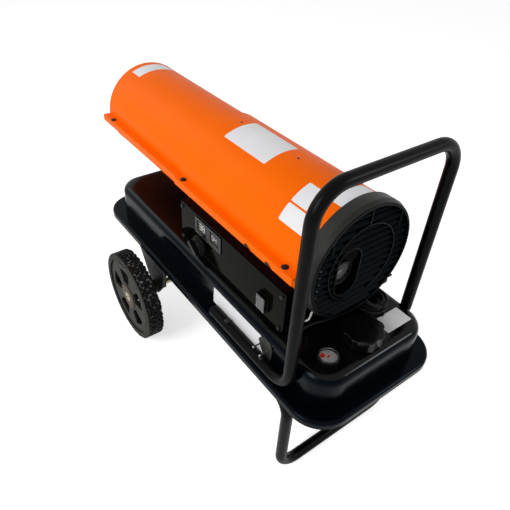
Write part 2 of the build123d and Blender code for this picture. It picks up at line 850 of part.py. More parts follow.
def rim_window():
    """Rounded opening between two spokes, in plan about the wheel's centre."""
    half = rim_window_half_turn
    ring = Circle(rim_window_outer_radius) - Circle(rim_window_inner_radius)
    far = 2 * rim_window_outer_radius
    wedge = outline_face([(0, 0), (far * math.cos(math.radians(half)), -far * math.sin(math.radians(half))),
                          (far * math.cos(math.radians(half)), far * math.sin(math.radians(half)))])
    window = ring & wedge
    return fillet(window.vertices(), rim_window_fillet)


def make_rim(side):
    web_back_y = web_face_y - rim_web_thickness
    y0 = wheel_mid_y - rim_ring_half_width
    y1 = wheel_mid_y + rim_ring_half_width
    outer = tyre_bore_radius
    outline = [(hub_inner_y, axle_radius + running_gap), (hub_inner_y, rim_hub_radius), (web_back_y, rim_hub_radius),
               (web_back_y, rim_ring_inner_radius), (y0, rim_ring_inner_radius), (y0, outer), (y1, outer),
               (y1, rim_ring_inner_radius), (web_face_y, rim_ring_inner_radius), (web_face_y, hub_pocket_radius),
               (pocket_floor_y, hub_pocket_radius), (pocket_floor_y, axle_radius + running_gap)]
    rim = turned_y(outline, wheel_x, wheel_radius)
    cutter = extrude(Plane.XZ * rim_window(), amount=-rim_web_thickness - 2 * overrun)
    cuts = []
    for i in range(rim_window_count):
        turn = -(rim_window_turn + i * 360 / rim_window_count)
        cuts.append(Pos(wheel_x, web_back_y - overrun, wheel_radius) * Rot(0, turn, 0) * cutter)
    return on_side(rim - cuts, side)


def make_hub_plate(side):
    y1 = web_face_y + hub_plate_thickness
    centre = (wheel_x, web_face_y, wheel_radius)
    plate = sleeve(hub_plate_radius, hub_pocket_radius, centre, (wheel_x, y1, wheel_radius))
    return on_side(plate, side)


def make_axle():
    outline = [(-axle_end_y, 0), (-axle_end_y, axle_end_radius), (-shoulder_y, axle_end_radius),
               (-shoulder_y, axle_radius), (shoulder_y, axle_radius), (shoulder_y, axle_end_radius),
               (axle_end_y, axle_end_radius), (axle_end_y, 0)]
    axle = turned_y(outline, wheel_x, wheel_radius)
    for side in (-1, 1):
        y = side * (nut_end_y + axle_tail / 2)
        axle -= rod(split_pin_radius + running_gap, (wheel_x, y, wheel_radius - overrun), (wheel_x, y, wheel_radius + overrun))
    return axle


def make_axle_hardware():
    pieces = []
    for side in (-1, 1):
        def at(y):
            return (wheel_x, side * y, wheel_radius)
        inner_seat = bracket_half_span + fit_gap / 2
        pieces.append(sleeve(axle_washer_radius, axle_radius + running_gap, at(inner_seat),
                             at(inner_seat + inner_washer_thickness)))
        pieces.append(sleeve(axle_washer_radius, axle_end_radius + running_gap, at(shoulder_y), at(nut_seat_y)))
        nut = hexagon_rod(axle_nut_radius, at(nut_seat_y), at(nut_end_y))
        pieces.append(nut - rod(axle_end_radius + running_gap, at(nut_seat_y - overrun), at(nut_end_y + overrun)))
        y = side * (nut_end_y + axle_tail / 2)
        pieces.append(rod(split_pin_radius, (wheel_x, y, wheel_radius - split_pin_half_length),
                          (wheel_x, y, wheel_radius + split_pin_half_length)))
    return Compound(children=pieces)


def panel_screw_places():
    """Places of the panel screws as X and Z."""
    xs = (box_front_x + panel_screw_inset, box_rear_x - panel_screw_inset)
    return [(x, z) for x in xs for z in (pan_top_z + panel_screw_low, box_top_z - panel_screw_high)]


def panel_screw_holes():
    """Cutters for the panel screws through both sides of the box."""
    far = box_half_width + overrun
    near = box_half_width - overrun
    return [rod(screw_radius + fit_gap, (x, side * near, z), (x, side * far, z))
            for x, z in panel_screw_places() for side in (-1, 1)]


def make_chassis_box():
    s = box_sheet
    box = block(box_front_x, box_rear_x, -box_half_width, box_half_width, pan_top_z, box_top_z)
    box -= block(box_front_x + s, box_rear_x - s, -box_half_width + s, box_half_width - s, pan_top_z + s, box_top_z - s)
    box -= block(box_front_x + box_post_width, box_rear_x - box_post_width, -box_half_width - overrun,
                 box_half_width + overrun, pan_top_z + box_rail_height, box_top_z - box_rail_height)
    box -= rod(rear_radius + seat_gap, (box_front_x - overrun, 0, axis_z), (box_rear_x + overrun, 0, axis_z))
    box -= rod(gland_thread_radius + fit_gap, (box_rear_x - overrun, gland_y, gland_z),
               (box_rear_x + overrun, gland_y, gland_z))
    hose_in = air_hose_route[5]
    box -= rod(hose_notch_radius, (box_rear_x - overrun / 2, hose_in[1], hose_in[2]),
               (box_rear_x + overrun, hose_in[1], hose_in[2]))
    box -= rod(pickup_radius + fit_gap, (pickup_x, pickup_y, pan_top_z - overrun), (pickup_x, pickup_y, pan_top_z + overrun))
    return box - panel_screw_holes()


panel_face_y = -(box_half_width + box_sheet)
panel_low_z = pan_top_z + panel_low_gap
panel_high_z = box_top_z - panel_top_gap


def make_control_panel():
    panel = block(box_front_x, box_rear_x + panel_overhang, panel_face_y, -box_half_width, panel_low_z, panel_high_z)
    gap = display_rim + fit_gap
    through = (panel_face_y - overrun, -box_half_width + overrun)
    panel -= block(display_front_x + display_rim - fit_gap, display_rear_x - display_rim + fit_gap, *through,
                   display_low_z + gap - 2 * fit_gap, display_high_z - gap + 2 * fit_gap)
    panel -= rod(knob_shaft_radius + fit_gap, (knob_x, through[0], knob_z), (knob_x, through[1], knob_z))
    w = switch_opening_half_width + switch_wall + fit_gap
    h = switch_opening_half_height + switch_wall + fit_gap
    panel -= block(switch_x - w, switch_x + w, *through, switch_z - h, switch_z + h)
    return panel - panel_screw_holes()


def make_far_cover():
    cover = block(box_front_x, box_rear_x, box_half_width, box_half_width + box_sheet, panel_low_z, panel_high_z)
    return cover - panel_screw_holes()


def make_display_module():
    face_y = panel_face_y - display_proud
    width = display_rear_x - display_front_x
    height = display_high_z - display_low_z
    middle = Pos((display_front_x + display_rear_x) / 2, panel_face_y, (display_low_z + display_high_z) / 2)
    bezel = extrude(middle * (Plane.XZ * RectangleRounded(width, height, display_corner_radius)), amount=display_proud)
    body = block(display_front_x + display_rim, display_rear_x - display_rim, panel_face_y, display_back_y,
                 display_low_z + display_rim, display_high_z - display_rim)
    module = bezel + body
    for share in (display_left_share, display_right_share):
        x0, x1 = (display_front_x + part * width for part in share)
        z0, z1 = (display_low_z + part * height for part in display_height_share)
        module -= block(x0, x1, face_y - overrun, face_y + display_recess, z0, z1)
    return module


def make_knob():
    base_y = panel_face_y - knob_air
    skirt_y = base_y - knob_skirt_height
    top_y = skirt_y - knob_body_height
    outline = [(base_y, 0), (base_y, knob_skirt_radius), (skirt_y, knob_skirt_radius - knob_grip_fillet),
               (skirt_y, knob_body_radius), (top_y, knob_neck_radius), (top_y, 0)]
    knob = turned_y(outline, knob_x, knob_z)
    grip = Box(knob_grip_length, knob_grip_height, knob_grip_width)
    grip = fillet(grip.edges().filter_by(Axis.Y), knob_grip_fillet)
    place = Pos(knob_x, top_y - knob_grip_height / 2, knob_z) * Rot(0, knob_grip_turn, 0)
    knob += place * grip
    shaft_end = base_y + knob_shaft_length
    return knob + rod(knob_shaft_radius, (knob_x, base_y, knob_z), (knob_x, shaft_end, knob_z))


def make_switch_bezel():
    face_y = panel_face_y - switch_bezel_proud
    back_y = panel_face_y + switch_body_depth
    ow = switch_opening_half_width
    oh = switch_opening_half_height
    bezel = block(switch_x - switch_half_width, switch_x + switch_half_width, face_y, panel_face_y,
                  switch_z - switch_half_height, switch_z + switch_half_height)
    bezel += block(switch_x - ow - switch_wall, switch_x + ow + switch_wall, panel_face_y, back_y,
                   switch_z - oh - switch_wall, switch_z + oh + switch_wall)
    bezel -= block(switch_x - ow, switch_x + ow, face_y - overrun, back_y - switch_wall, switch_z - oh, switch_z + oh)
    pivot_y = panel_face_y + rocker_pivot_depth
    reach = rocker_half_width + rocker_pin_reach + fit_gap
    return bezel - rod(rocker_pin_radius + running_gap, (switch_x - reach, pivot_y, switch_z),
                       (switch_x + reach, pivot_y, switch_z))


def make_rocker():
    h = rocker_half_height
    outline = [(rocker_back, -h), (-rocker_front, -h), (-rocker_front + rocker_dish, 0), (-rocker_front, h),
               (rocker_back, h)]
    body = Pos(-rocker_half_width, 0, 0) * extrude(Plane.YZ * outline_face(outline), amount=2 * rocker_half_width)
    reach = rocker_half_width + rocker_pin_reach
    body += rod(rocker_pin_radius, (-reach, 0, 0), (reach, 0, 0))
    pivot_y = panel_face_y + rocker_pivot_depth
    return Pos(switch_x, pivot_y, switch_z) * Rot(rocker_rest_tilt, 0, 0) * body


def make_switch_cover():
    seat_y = panel_face_y - switch_bezel_proud
    top_y = seat_y - switch_cover_depth
    w = switch_half_width - switch_cover_rim
    h = switch_half_height - switch_cover_rim
    cover = block(switch_x - w, switch_x + w, top_y, seat_y, switch_z - h, switch_z + h)
    front = cover.edges().group_by(Axis.Y)[0]
    cover = fillet(front, switch_cover_fillet)
    t = switch_cover_wall
    return cover - block(switch_x - w + t, switch_x + w - t, top_y + t, seat_y + overrun, switch_z - h + t,
                         switch_z + h - t)


def make_combustion_chamber():
    t = chamber_sheet
    cone_back = chamber_front_x + flame_cone_inset
    outline = [(chamber_front_x, chamber_radius), (chamber_rear_x, chamber_radius),
               (chamber_rear_x, chamber_radius - t), (cone_back + t, chamber_radius - t),
               (cone_back + flame_cone_length + t, flame_cone_radius), (cone_back + flame_cone_length, flame_cone_radius),
               (cone_back, chamber_radius - t), (chamber_front_x, chamber_radius - t)]
    return turned_x(outline)


def make_chamber_brackets():
    pieces = []
    for x in chamber_bracket_xs:
        casing = front_radius if x < casing_step_x else rear_radius
        high = casing - casing_sheet - seat_gap
        low = chamber_radius + seat_gap
        for turn in chamber_bracket_turns:
            half = chamber_bracket_length / 2
            plate = block(x - half, x + half, -chamber_bracket_thickness / 2, chamber_bracket_thickness / 2,
                          low, high - seat_gap)
            pieces.append(Pos(0, 0, axis_z) * Rot(turn - 90, 0, 0) * plate)
    return Compound(children=pieces)


disc_front_x = chamber_rear_x
disc_rear_x = chamber_rear_x + burner_disc_thickness
holder_rear_x = disc_rear_x + nozzle_holder_length


def make_burner_head():
    outline = [(disc_front_x, nozzle_radius + seat_gap), (disc_front_x, chamber_radius),
               (disc_rear_x, chamber_radius), (disc_rear_x, nozzle_holder_radius),
               (holder_rear_x, nozzle_holder_radius), (holder_rear_x, 0), (disc_rear_x, 0),
               (disc_rear_x, nozzle_radius + seat_gap)]
    head = turned_x(outline)
    for i in range(burner_slot_count):
        slot = Box(2 * overrun, burner_slot_width, burner_slot_length)
        slot = Pos(disc_front_x, 0, burner_slot_radius) * Rot(burner_slot_turn, 0, 0) * slot
        turn = (i + burner_slot_start_share) * 360 / burner_slot_count
        head -= Pos(0, 0, axis_z) * Rot(turn, 0, 0) * slot
    for y, radius in ((igniter_y, igniter_radius), (photocell_y, photocell_radius / 2)):
        head -= rod(radius + seat_gap, (disc_front_x - overrun, y, axis_z), (disc_rear_x + overrun, y, axis_z))
    return head


def make_nozzle():
    start = disc_rear_x
    neck = start - nozzle_length + nozzle_cone_length
    tip = start - nozzle_length
    return rod(nozzle_radius, (start, 0, axis_z), (neck, 0, axis_z)) + cone(
        nozzle_radius, nozzle_tip_radius, (neck, 0, axis_z), (tip, 0, axis_z))


def make_igniter():
    y = igniter_y
    body = rod(igniter_radius, (disc_front_x - igniter_front_length, y, axis_z),
               (disc_rear_x + igniter_rear_length, y, axis_z))
    collar_end = (disc_rear_x + igniter_collar_length, y, axis_z)
    collar = hexagon_rod(igniter_collar_radius, (disc_rear_x, y, axis_z), collar_end)
    tip = disc_front_x - igniter_front_length
    return body + collar + rod(igniter_wire_radius, (tip - igniter_wire_length, y, axis_z), (tip, y, axis_z))


def make_photocell():
    start = (disc_rear_x, photocell_y, axis_z)
    body = rod(photocell_radius, start, (disc_rear_x + photocell_length, photocell_y, axis_z))
    return body + rod(photocell_radius / 2, (disc_front_x - burner_disc_thickness, photocell_y, axis_z), start)


def make_motor():
    bell_front = motor_front_x + motor_bell_length
    bell_rear = motor_rear_x - motor_bell_length
    bore = shaft_radius + running_gap
    outline = [(motor_front_x, bore), (motor_front_x, motor_nose_radius),
               (motor_front_x + motor_bell_length / 2, motor_bell_radius), (bell_front, motor_bell_radius),
               (bell_front, motor_radius)]
    middle = (motor_front_x + motor_rear_x) / 2
    first = middle - (motor_fin_count - 1) * motor_fin_pitch / 2
    for i in range(motor_fin_count):
        x = first + i * motor_fin_pitch
        outline += [(x - motor_fin_width / 2, motor_radius), (x - motor_fin_width / 2, motor_radius - motor_fin_depth),
                    (x + motor_fin_width / 2, motor_radius - motor_fin_depth), (x + motor_fin_width / 2, motor_radius)]
    outline += [(bell_rear, motor_radius), (bell_rear, motor_bell_radius), (motor_rear_x, motor_bell_radius),
                (motor_rear_x, bore)]
    return turned_x(outline)


def make_motor_bracket():
    bore = motor_radius + seat_gap
    low = axis_z - rear_radius + casing_sheet
    pieces = []
    saddle = rod(rear_radius - casing_sheet - seat_gap, (motor_front_x, 0, axis_z), (motor_rear_x, 0, axis_z))
    for x in motor_bracket_xs:
        ends = ((x, 0, axis_z), (x + motor_bracket_sheet, 0, axis_z))
        plate = rod(bore + motor_bracket_rim, *ends)
        leg = block(x, x + motor_bracket_sheet, -motor_bracket_half_width, motor_bracket_half_width, low - overrun, axis_z)
        pieces.append((plate + (leg & saddle)) - rod(bore, *ends))
    x0, x1 = motor_bracket_xs
    sole = block(x0, x1, -motor_bracket_half_width, motor_bracket_half_width, low - overrun,
                 low + 2 * motor_bracket_rim) & saddle
    sole -= rod(rear_radius - 2 * casing_sheet - motor_bracket_sheet, (x0, 0, axis_z), (x1, 0, axis_z))
    return pieces[0] + pieces[1] + sole


pump_front_x = motor_rear_x + running_gap * 2
pump_rear_x = pump_front_x + pump_length
cover_rear_x = pump_rear_x + pump_cover_length
rotor_front_x = pump_rear_x - pump_rotor_length - fit_gap


def make_motor_shaft():
    shaft = rod(shaft_radius, (shaft_front_x, 0, axis_z), (rotor_front_x, 0, axis_z))
    return shaft + rod(pump_rotor_radius, (rotor_front_x, 0, axis_z), (pump_rear_x - fit_gap, 0, axis_z))


def make_fan():
    blades = []
    for i in range(fan_blade_count):
        root = Pos(0, 0, fan_hub_radius - fan_blade_thickness) * Rot(0, 0, fan_root_pitch) * Rectangle(
            fan_blade_thickness, fan_root_chord)
        tip = Pos(0, 0, fan_tip_radius + fan_blade_thickness) * Rot(0, 0, fan_tip_pitch) * Rectangle(
            fan_blade_thickness, fan_tip_chord)
        blade = loft([root, tip], ruled=True)
        blades.append(Pos(fan_x, 0, axis_z) * Rot(i * 360 / fan_blade_count, 0, 0) * blade)
    sweep_room = rod(fan_tip_radius, (fan_x - fan_tip_chord, 0, axis_z), (fan_x + fan_tip_chord, 0, axis_z))
    hub = rod(fan_hub_radius, (fan_x - fan_hub_half_length, 0, axis_z), (fan_x + fan_hub_half_length, 0, axis_z))
    fan = sweep_room & (hub + blades)
    return fan - rod(shaft_radius + running_gap, (fan_x - overrun, 0, axis_z), (fan_x + overrun, 0, axis_z))


def make_pump_body():
    body = rod(pump_radius, (pump_front_x, 0, axis_z), (pump_rear_x, 0, axis_z))
    body -= rod(pump_chamber_radius, (rotor_front_x - fit_gap, pump_chamber_offset, axis_z),
                (pump_rear_x + overrun, pump_chamber_offset, axis_z))
    body -= rod(shaft_radius + running_gap, (pump_front_x - overrun, 0, axis_z), (pump_rear_x, 0, axis_z))
    port = air_hose_route[0]
    return body + rod(pump_port_radius, port, (port[0], port[1], axis_z - pump_radius / 2))


def make_pump_cover():
    outline = [(pump_rear_x, 0), (pump_rear_x, pump_radius), (cover_rear_x - pump_cover_edge, pump_radius),
               (cover_rear_x, pump_radius - pump_cover_edge), (cover_rear_x, 0)]
    cover = turned_x(outline)
    room = (pump_rear_x - overrun, 0, axis_z)
    cover -= rod(filter_radius + fit_gap, room, (pump_rear_x + filter_length + fit_gap, 0, axis_z))
    cover += rod(pump_adjuster_radius, (cover_rear_x, pump_adjuster_y, pump_adjuster_z),
                 (cover_rear_x + pump_adjuster_length, pump_adjuster_y, pump_adjuster_z))
    filter_pad = sleeve(filter_radius, pump_chamber_radius, (pump_rear_x + running_gap, 0, axis_z),
                        (pump_rear_x + filter_length, 0, axis_z))
    return Compound(children=[cover, filter_pad])


def make_pressure_gauge():
    stem_x = cover_rear_x
    outline = [(stem_x, 0), (stem_x, pressure_stem_radius), (pressure_back_x, pressure_stem_radius),
               (pressure_back_x, pressure_radius), (pressure_front_x, pressure_radius),
               (pressure_front_x, pressure_bore_radius), (pressure_dial_x, pressure_bore_radius), (pressure_dial_x, 0)]
    gauge = turned_x(outline, pressure_y, pressure_z)
    pin_end = pressure_dial_x + needle_lift + needle_thickness
    return gauge + rod(needle_pin_radius, (pressure_dial_x, pressure_y, pressure_z), (pin_end, pressure_y, pressure_z))


def needle(length, tail):
    """Pointer lying flat, its pivot at the origin and its tip along +Y."""
    blade = outline_face([(-needle_width / 2, -tail), (needle_width / 2, -tail), (needle_width / 4, length),
                          (-needle_width / 4, length)])
    body = extrude(blade, amount=needle_thickness) + extrude(Circle(needle_hub_radius), amount=needle_thickness)
    return body - extrude(Circle(needle_pin_radius + running_gap), amount=needle_thickness)


def make_pressure_needle():
    seat = Plane(origin=(pressure_dial_x + needle_lift, pressure_y, pressure_z), x_dir=(0, 1, 0), z_dir=(1, 0, 0))
    return seat * Rot(0, 0, pressure_needle_turn) * needle(pressure_needle_length, pressure_needle_tail)


def make_pressure_lens():
    rear = pressure_front_x - pressure_lens_inset
    return rod(pressure_bore_radius - running_gap, (rear - pressure_lens_thickness, pressure_y, pressure_z),
               (rear, pressure_y, pressure_z))


def make_transformer():
    width, depth, height = transformer_size
    floor = pan_top_z + box_sheet
    body = block(transformer_x - width / 2, transformer_x + width / 2, transformer_y - depth / 2,
                 transformer_y + depth / 2, floor, floor + height)
    body = fillet(body.edges().filter_by(Axis.Z), transformer_post_radius)
    x = transformer_x - width / 2
    for y in (transformer_y - depth / 4, transformer_y + depth / 4):
        z = floor + height / 2
        body += rod(transformer_post_radius, (x - transformer_post_length, y, z), (x, y, z))
    return body


def make_control_board():
    face_y = display_back_y
    board = block(board_front_x, board_rear_x, face_y, face_y + board_thickness, board_low_z, board_high_z)
    inner_panel_y = -box_half_width
    posts = [(x, z) for x in (board_front_x + 2 * board_post_radius, board_rear_x - 2 * board_post_radius)
             for z in (board_low_z + 2 * board_post_radius, board_high_z - 2 * board_post_radius)]
    for x, z in posts:
        board += rod(board_post_radius, (x, inner_panel_y, z), (x, face_y, z))
    board += rod(pot_radius, (knob_x, inner_panel_y, knob_z), (knob_x, face_y, knob_z))
    bore_end = panel_face_y - knob_air + knob_shaft_length + fit_gap
    return board - rod(knob_shaft_radius + running_gap, (knob_x, inner_panel_y - overrun, knob_z), (knob_x, bore_end, knob_z))


def make_filler_neck():
    inner = neck_radius - neck_wall
    outline = [(inner, pan_top_z - neck_drop), (neck_radius, pan_top_z - neck_drop), (neck_radius, pan_top_z),
               (neck_collar_radius, pan_top_z), (neck_collar_radius, pan_top_z + tank_sheet),
               (neck_radius, pan_top_z + tank_sheet), (neck_radius, neck_top_z), (inner, neck_top_z)]
    neck = turned_z(outline, filler_x, filler_y)
    ledge = neck_top_z - strainer_rim_height
    return neck + sleeve(inner + running_gap, strainer_radius + seat_gap, (filler_x, filler_y, ledge - neck_wall),
                         (filler_x, filler_y, ledge))


def make_fuel_strainer():
    top = neck_top_z
    rim_low = top - strainer_rim_height
    bottom = top - strainer_depth
    inner = strainer_radius - strainer_sheet
    outline = [(0, bottom), (strainer_radius, bottom), (strainer_radius, rim_low), (strainer_rim_radius, rim_low),
               (strainer_rim_radius, top), (inner, top), (inner, bottom + strainer_sheet), (0, bottom + strainer_sheet)]
    basket = turned_z(outline, filler_x, filler_y)
    cuts = []
    for row in range(strainer_slot_rows):
        z = bottom + strainer_first_slot + row * strainer_slot_pitch
        for i in range(strainer_slot_count // 2):
            turn = (i + row / 2) * 360 / strainer_slot_count
            slot = Box(2 * (strainer_radius + overrun), strainer_slot_width, strainer_slot_height)
            cuts.append(Pos(filler_x, filler_y, z) * Rot(0, 0, turn) * slot)
    return basket - cuts


gasket_low_z = neck_top_z + seat_gap
gasket_high_z = gasket_low_z + gasket_height


def make_cap_gasket():
    return sleeve(gasket_radius, gasket_inner_radius, (filler_x, filler_y, gasket_low_z), (filler_x, filler_y, gasket_high_z))


def make_fuel_cap():
    centre = (filler_x, filler_y, cap_low_z)
    cap = rod(cap_radius, centre, (filler_x, filler_y, cap_high_z))
    reach = cap_radius + cap_lobe_radius - cap_lobe_bite
    bites = []
    for i in range(cap_lobe_count):
        turn = math.radians(i * 360 / cap_lobe_count)
        x = filler_x + reach * math.cos(turn)
        y = filler_y + reach * math.sin(turn)
        bites.append(rod(cap_lobe_radius, (x, y, cap_low_z - overrun), (x, y, cap_high_z + overrun)))
    cap -= bites
    cap = fillet(cap.edges().group_by(Axis.Z)[-1], cap_edge_radius)
    cap += sleeve(cap_crown_radius, cap_crown_radius - cap_crown_wall, (filler_x, filler_y, cap_high_z),
                  (filler_x, filler_y, cap_high_z + cap_crown_height))
    ceiling = gasket_high_z + seat_gap
    return cap - rod(cap_bore_radius, (filler_x, filler_y, cap_low_z - overrun), (filler_x, filler_y, ceiling))


fuel_gauge_top_z = pan_top_z + fuel_gauge_height
fuel_dial_z = fuel_gauge_top_z - fuel_gauge_recess


def make_fuel_gauge():
    outline = [(0, pan_top_z), (fuel_gauge_radius, pan_top_z), (fuel_gauge_radius, fuel_gauge_top_z - fuel_gauge_edge),
               (fuel_gauge_radius - fuel_gauge_edge, fuel_gauge_top_z), (fuel_gauge_bore_radius, fuel_gauge_top_z),
               (fuel_gauge_bore_radius, fuel_dial_z), (0, fuel_dial_z)]
    body = turned_z(outline, fuel_gauge_x, fuel_gauge_y)
    x = fuel_gauge_x
    y = fuel_gauge_y
    body += rod(needle_pin_radius, (x, y, fuel_dial_z), (x, y, fuel_dial_z + needle_lift + needle_thickness))
    yoke_top = float_pivot_z + float_yoke_width
    body += rod(fuel_gauge_stem_radius, (x, y, yoke_top), (x, y, pan_top_z))
    for side in (-1, 1):
        y0 = y + side * float_yoke_gap / 2
        body += block(x - float_yoke_width / 2, x + float_yoke_width / 2, y0, y0 + side * float_yoke_sheet,
                      float_pivot_z - float_yoke_width / 2, yoke_top)
    reach = float_yoke_gap / 2 + float_yoke_sheet
    return body - rod(float_pin_radius + running_gap, (x, y - reach - overrun, float_pivot_z),
                      (x, y + reach + overrun, float_pivot_z))


def make_fuel_gauge_lens():
    top = fuel_gauge_top_z - needle_thickness / 2
    return rod(fuel_gauge_bore_radius - running_gap, (fuel_gauge_x, fuel_gauge_y, top - fuel_gauge_lens_thickness),
               (fuel_gauge_x, fuel_gauge_y, top))


def make_fuel_gauge_needle():
    return Pos(fuel_gauge_x, fuel_gauge_y, fuel_dial_z + needle_lift) * needle(fuel_needle_length, fuel_needle_tail)


def make_float_arm():
    reach = float_yoke_gap / 2 + float_yoke_sheet
    arm = rod(float_pin_radius, (0, -reach, 0), (0, reach, 0))
    arm += rod(float_arm_radius, (0, 0, 0), (-float_arm_length, 0, 0))
    arm += rod(float_radius, (-float_arm_length, -float_length / 2, 0), (-float_arm_length, float_length / 2, 0))
    return Pos(fuel_gauge_x, fuel_gauge_y, float_pivot_z) * Rot(0, float_rest_tilt, 0) * arm


def make_fuel_pickup():
    low = low_pan_bottom_z + tank_sheet + pickup_low_gap
    floor = pan_top_z + box_sheet
    pickup = rod(pickup_radius, (pickup_x, pickup_y, low), (pickup_x, pickup_y, pickup_top_z))
    pickup += hexagon_rod(pickup_flange_radius, (pickup_x, pickup_y, floor), (pickup_x, pickup_y, floor + pickup_flange_height))
    return pickup + rod(pickup_filter_radius, (pickup_x, pickup_y, low), (pickup_x, pickup_y, low + pickup_filter_length))


def tube_along(route, bends, radius, sides):
    """Many-sided solid along straight runs joined by tangent arcs."""
    path = FilletPolyline(*route, radius=list(bends))
    start = Plane(origin=route[0], z_dir=Vector(*route[1]) - Vector(*route[0]))
    section = RegularPolygon(radius, sides)
    tube = sweep(start * section, path=path)
    return tube, path.length, tube.volume / (section.area * path.length)


def largest_bends(route):
    """Arc radius at each inner point: a share of the shorter run over the tangent of half the turn."""
    points = [Vector(*p) for p in route]
    bends = []
    for a, b, c in zip(points, points[1:], points[2:]):
        turn = math.radians((b - a).get_angle(c - b))
        bends.append(bend_share * min((b - a).length, (c - b).length) / math.tan(turn / 2))
    return bends


def report_cord(name, length, share, bends):
    """Print what a cord piece measures."""
    radii = ", ".join(f"{r:.1f}" for r in bends)
    print(f"{name}: length {length:.1f} mm, volume over section times length {share:.4f}, radii {radii}")


def make_coil():
    """Tube laid in spirals that run in and out, a layer higher after each reversal."""
    x, y, z = coil_start
    first = Vector(x, y - 2 * cord_radius, z)
    edges = [Line(first, Vector(x, y, z))]
    heading = 1
    for i, share in enumerate(coil_share):
        radius = coil_radius - share * coil_step
        rise = coil_layer_pitch if i in coil_climb_share else 0.0
        start = Vector(x, y, z)
        x += heading * 2 * radius
        z += rise
        end = Vector(x, y, z)
        swing = (end - start).length / 2
        middle = (start + end) * 0.5 + Vector(0, heading * swing, 0)
        edges.append(ThreePointArc(start, middle, end))
        heading = -heading
    start = Vector(x, y, z)
    end = Vector(plug_x, y, plug_z)
    swing = (end - start).length / 2
    edges.append(ThreePointArc(start, (start + end) * 0.5 - Vector(0, swing, 0), end))
    last = end + Vector(0, 2 * cord_radius, 0)
    edges.append(Line(end, last))
    path = Wire([e.edge() for e in edges])
    section = RegularPolygon(cord_radius, cord_sides)
    tube = sweep(Plane(origin=first, z_dir=(0, 1, 0)) * section, path=path)
    print(f"coil: length {path.length:.1f} mm, volume over section times length "
          f"{tube.volume / (section.area * path.length):.4f}, least gap {least_gap(path):.2f} mm, "
          f"end at {last.X:.1f}, {last.Y:.1f}, {last.Z:.1f}")
    return tube, path.length, last


def least_gap(path):
    """Least free distance between turns, measured on points along the tube."""
    count = 900
    points = [path.position_at(i / count) for i in range(count + 1)]
    step = path.length / count
    apart = int(6 * cord_radius / step)
    least = path.length
    for i, p in enumerate(points):
        for q in points[i + apart:]:
            d = (p - q).length
            if d < least:
                least = d
    return least - 2 * cord_radius


def make_gland():
    y, z = gland_y, gland_z
    x0 = box_rear_x
    x1 = x0 + gland_hex_length
    corner = (gland_elbow_x, y, z)
    gland = hexagon_rod(gland_hex_radius, (x0, y, z), (x1, y, z)) + rod(gland_elbow_radius, (x1, y, z), corner)
    gland += Pos(*corner) * Sphere(gland_elbow_radius)
    gland += cone(gland_elbow_radius, gland_tip_radius, corner, (gland_elbow_x, y + gland_nose_length, z))
    inside = x0 - box_sheet
    gland += rod(gland_thread_radius, (inside - gland_nut_length, y, z), (x0, y, z))
    return gland + hexagon_rod(gland_hex_radius, (inside - gland_nut_length, y, z), (inside, y, z))


def make_power_plug(start):
    along = Vector(0, 1, 0)
    neck = start + along * mains_plug_boot_length
    head = neck + along * mains_plug_neck_length
    face = head + along * mains_plug_head_length
    body = rod(mains_plug_head_radius, head, face)
    body = chamfer(body.edges().filter_by(GeomType.CIRCLE), mains_plug_edge)
    plug = cone(cord_radius + seat_gap, mains_plug_boot_radius, start, neck)
    plug += cone(mains_plug_neck_radius, mains_plug_neck_radius + mains_plug_edge, neck, head)
    plug += body
    for side in (-1, 1):
        seat = face + Vector(side * mains_plug_pin_spread, 0, 0)
        plug += rod(mains_plug_pin_radius, seat, seat + along * mains_plug_pin_length)
    return plug


write("upper_shell", make_upper_shell())
write("lower_shell", make_lower_shell())
write("casing_screws", make_casing_screws())
write("fan_guard", make_fan_guard())
write("tank_upper", make_tank_upper())
write("tank_lower", make_tank_lower())
write("handle_frame", make_handle_frame())
write("foot_frame", make_foot_frame())
write("tube_plugs", make_tube_plugs())
write("frame_fasteners", make_frame_fasteners())
write("wheel_bracket", make_wheel_bracket())
write("axle", make_axle())
write("axle_hardware", make_axle_hardware())
for side, name in ((1, "left"), (-1, "right")):
    write(f"tyre_{name}", make_tyre(side))
    write(f"rim_{name}", make_rim(side))
    write(f"hub_plate_{name}", make_hub_plate(side))
write("chassis_box", make_chassis_box())
write("control_panel", make_control_panel())
write("far_cover", make_far_cover())
write("display_module", make_display_module())
write("thermostat_knob", make_knob())
write("switch_bezel", make_switch_bezel())
write("power_rocker", make_rocker())
write("switch_cover", make_switch_cover())
write("combustion_chamber", make_combustion_chamber())
write("chamber_brackets", make_chamber_brackets())
write("burner_head", make_burner_head())
write("nozzle", make_nozzle())
write("igniter", make_igniter())
write("photocell", make_photocell())
write("motor", make_motor())
write("motor_bracket", make_motor_bracket())
write("motor_shaft", make_motor_shaft())
write("fan", make_fan())
write("pump_body", make_pump_body())
write("pump_cover", make_pump_cover())
write("pressure_gauge", make_pressure_gauge())
write("pressure_needle", make_pressure_needle())
write("pressure_lens", make_pressure_lens())
write("ignition_transformer", make_transformer())
write("control_board", make_control_board())
write("filler_neck", make_filler_neck())
write("fuel_strainer", make_fuel_strainer())
write("cap_gasket", make_cap_gasket())
write("fuel_cap", make_fuel_cap())
write("fuel_gauge", make_fuel_gauge())
write("fuel_gauge_lens", make_fuel_gauge_lens())
write("fuel_gauge_needle", make_fuel_gauge_needle())
write("float_arm", make_float_arm())
write("fuel_pickup", make_fuel_pickup())
fuel_hose, fuel_hose_length, fuel_hose_share = tube_along(
    fuel_hose_route, fuel_hose_bends, hose_radius, hose_sides)
write("fuel_hose", fuel_hose)
report_cord("fuel hose", fuel_hose_length, fuel_hose_share, fuel_hose_bends)
air_hose, air_hose_length, air_hose_share = tube_along(
    air_hose_route, air_hose_bends, hose_radius, hose_sides)
write("air_hose", air_hose)
report_cord("air hose", air_hose_length, air_hose_share, air_hose_bends)
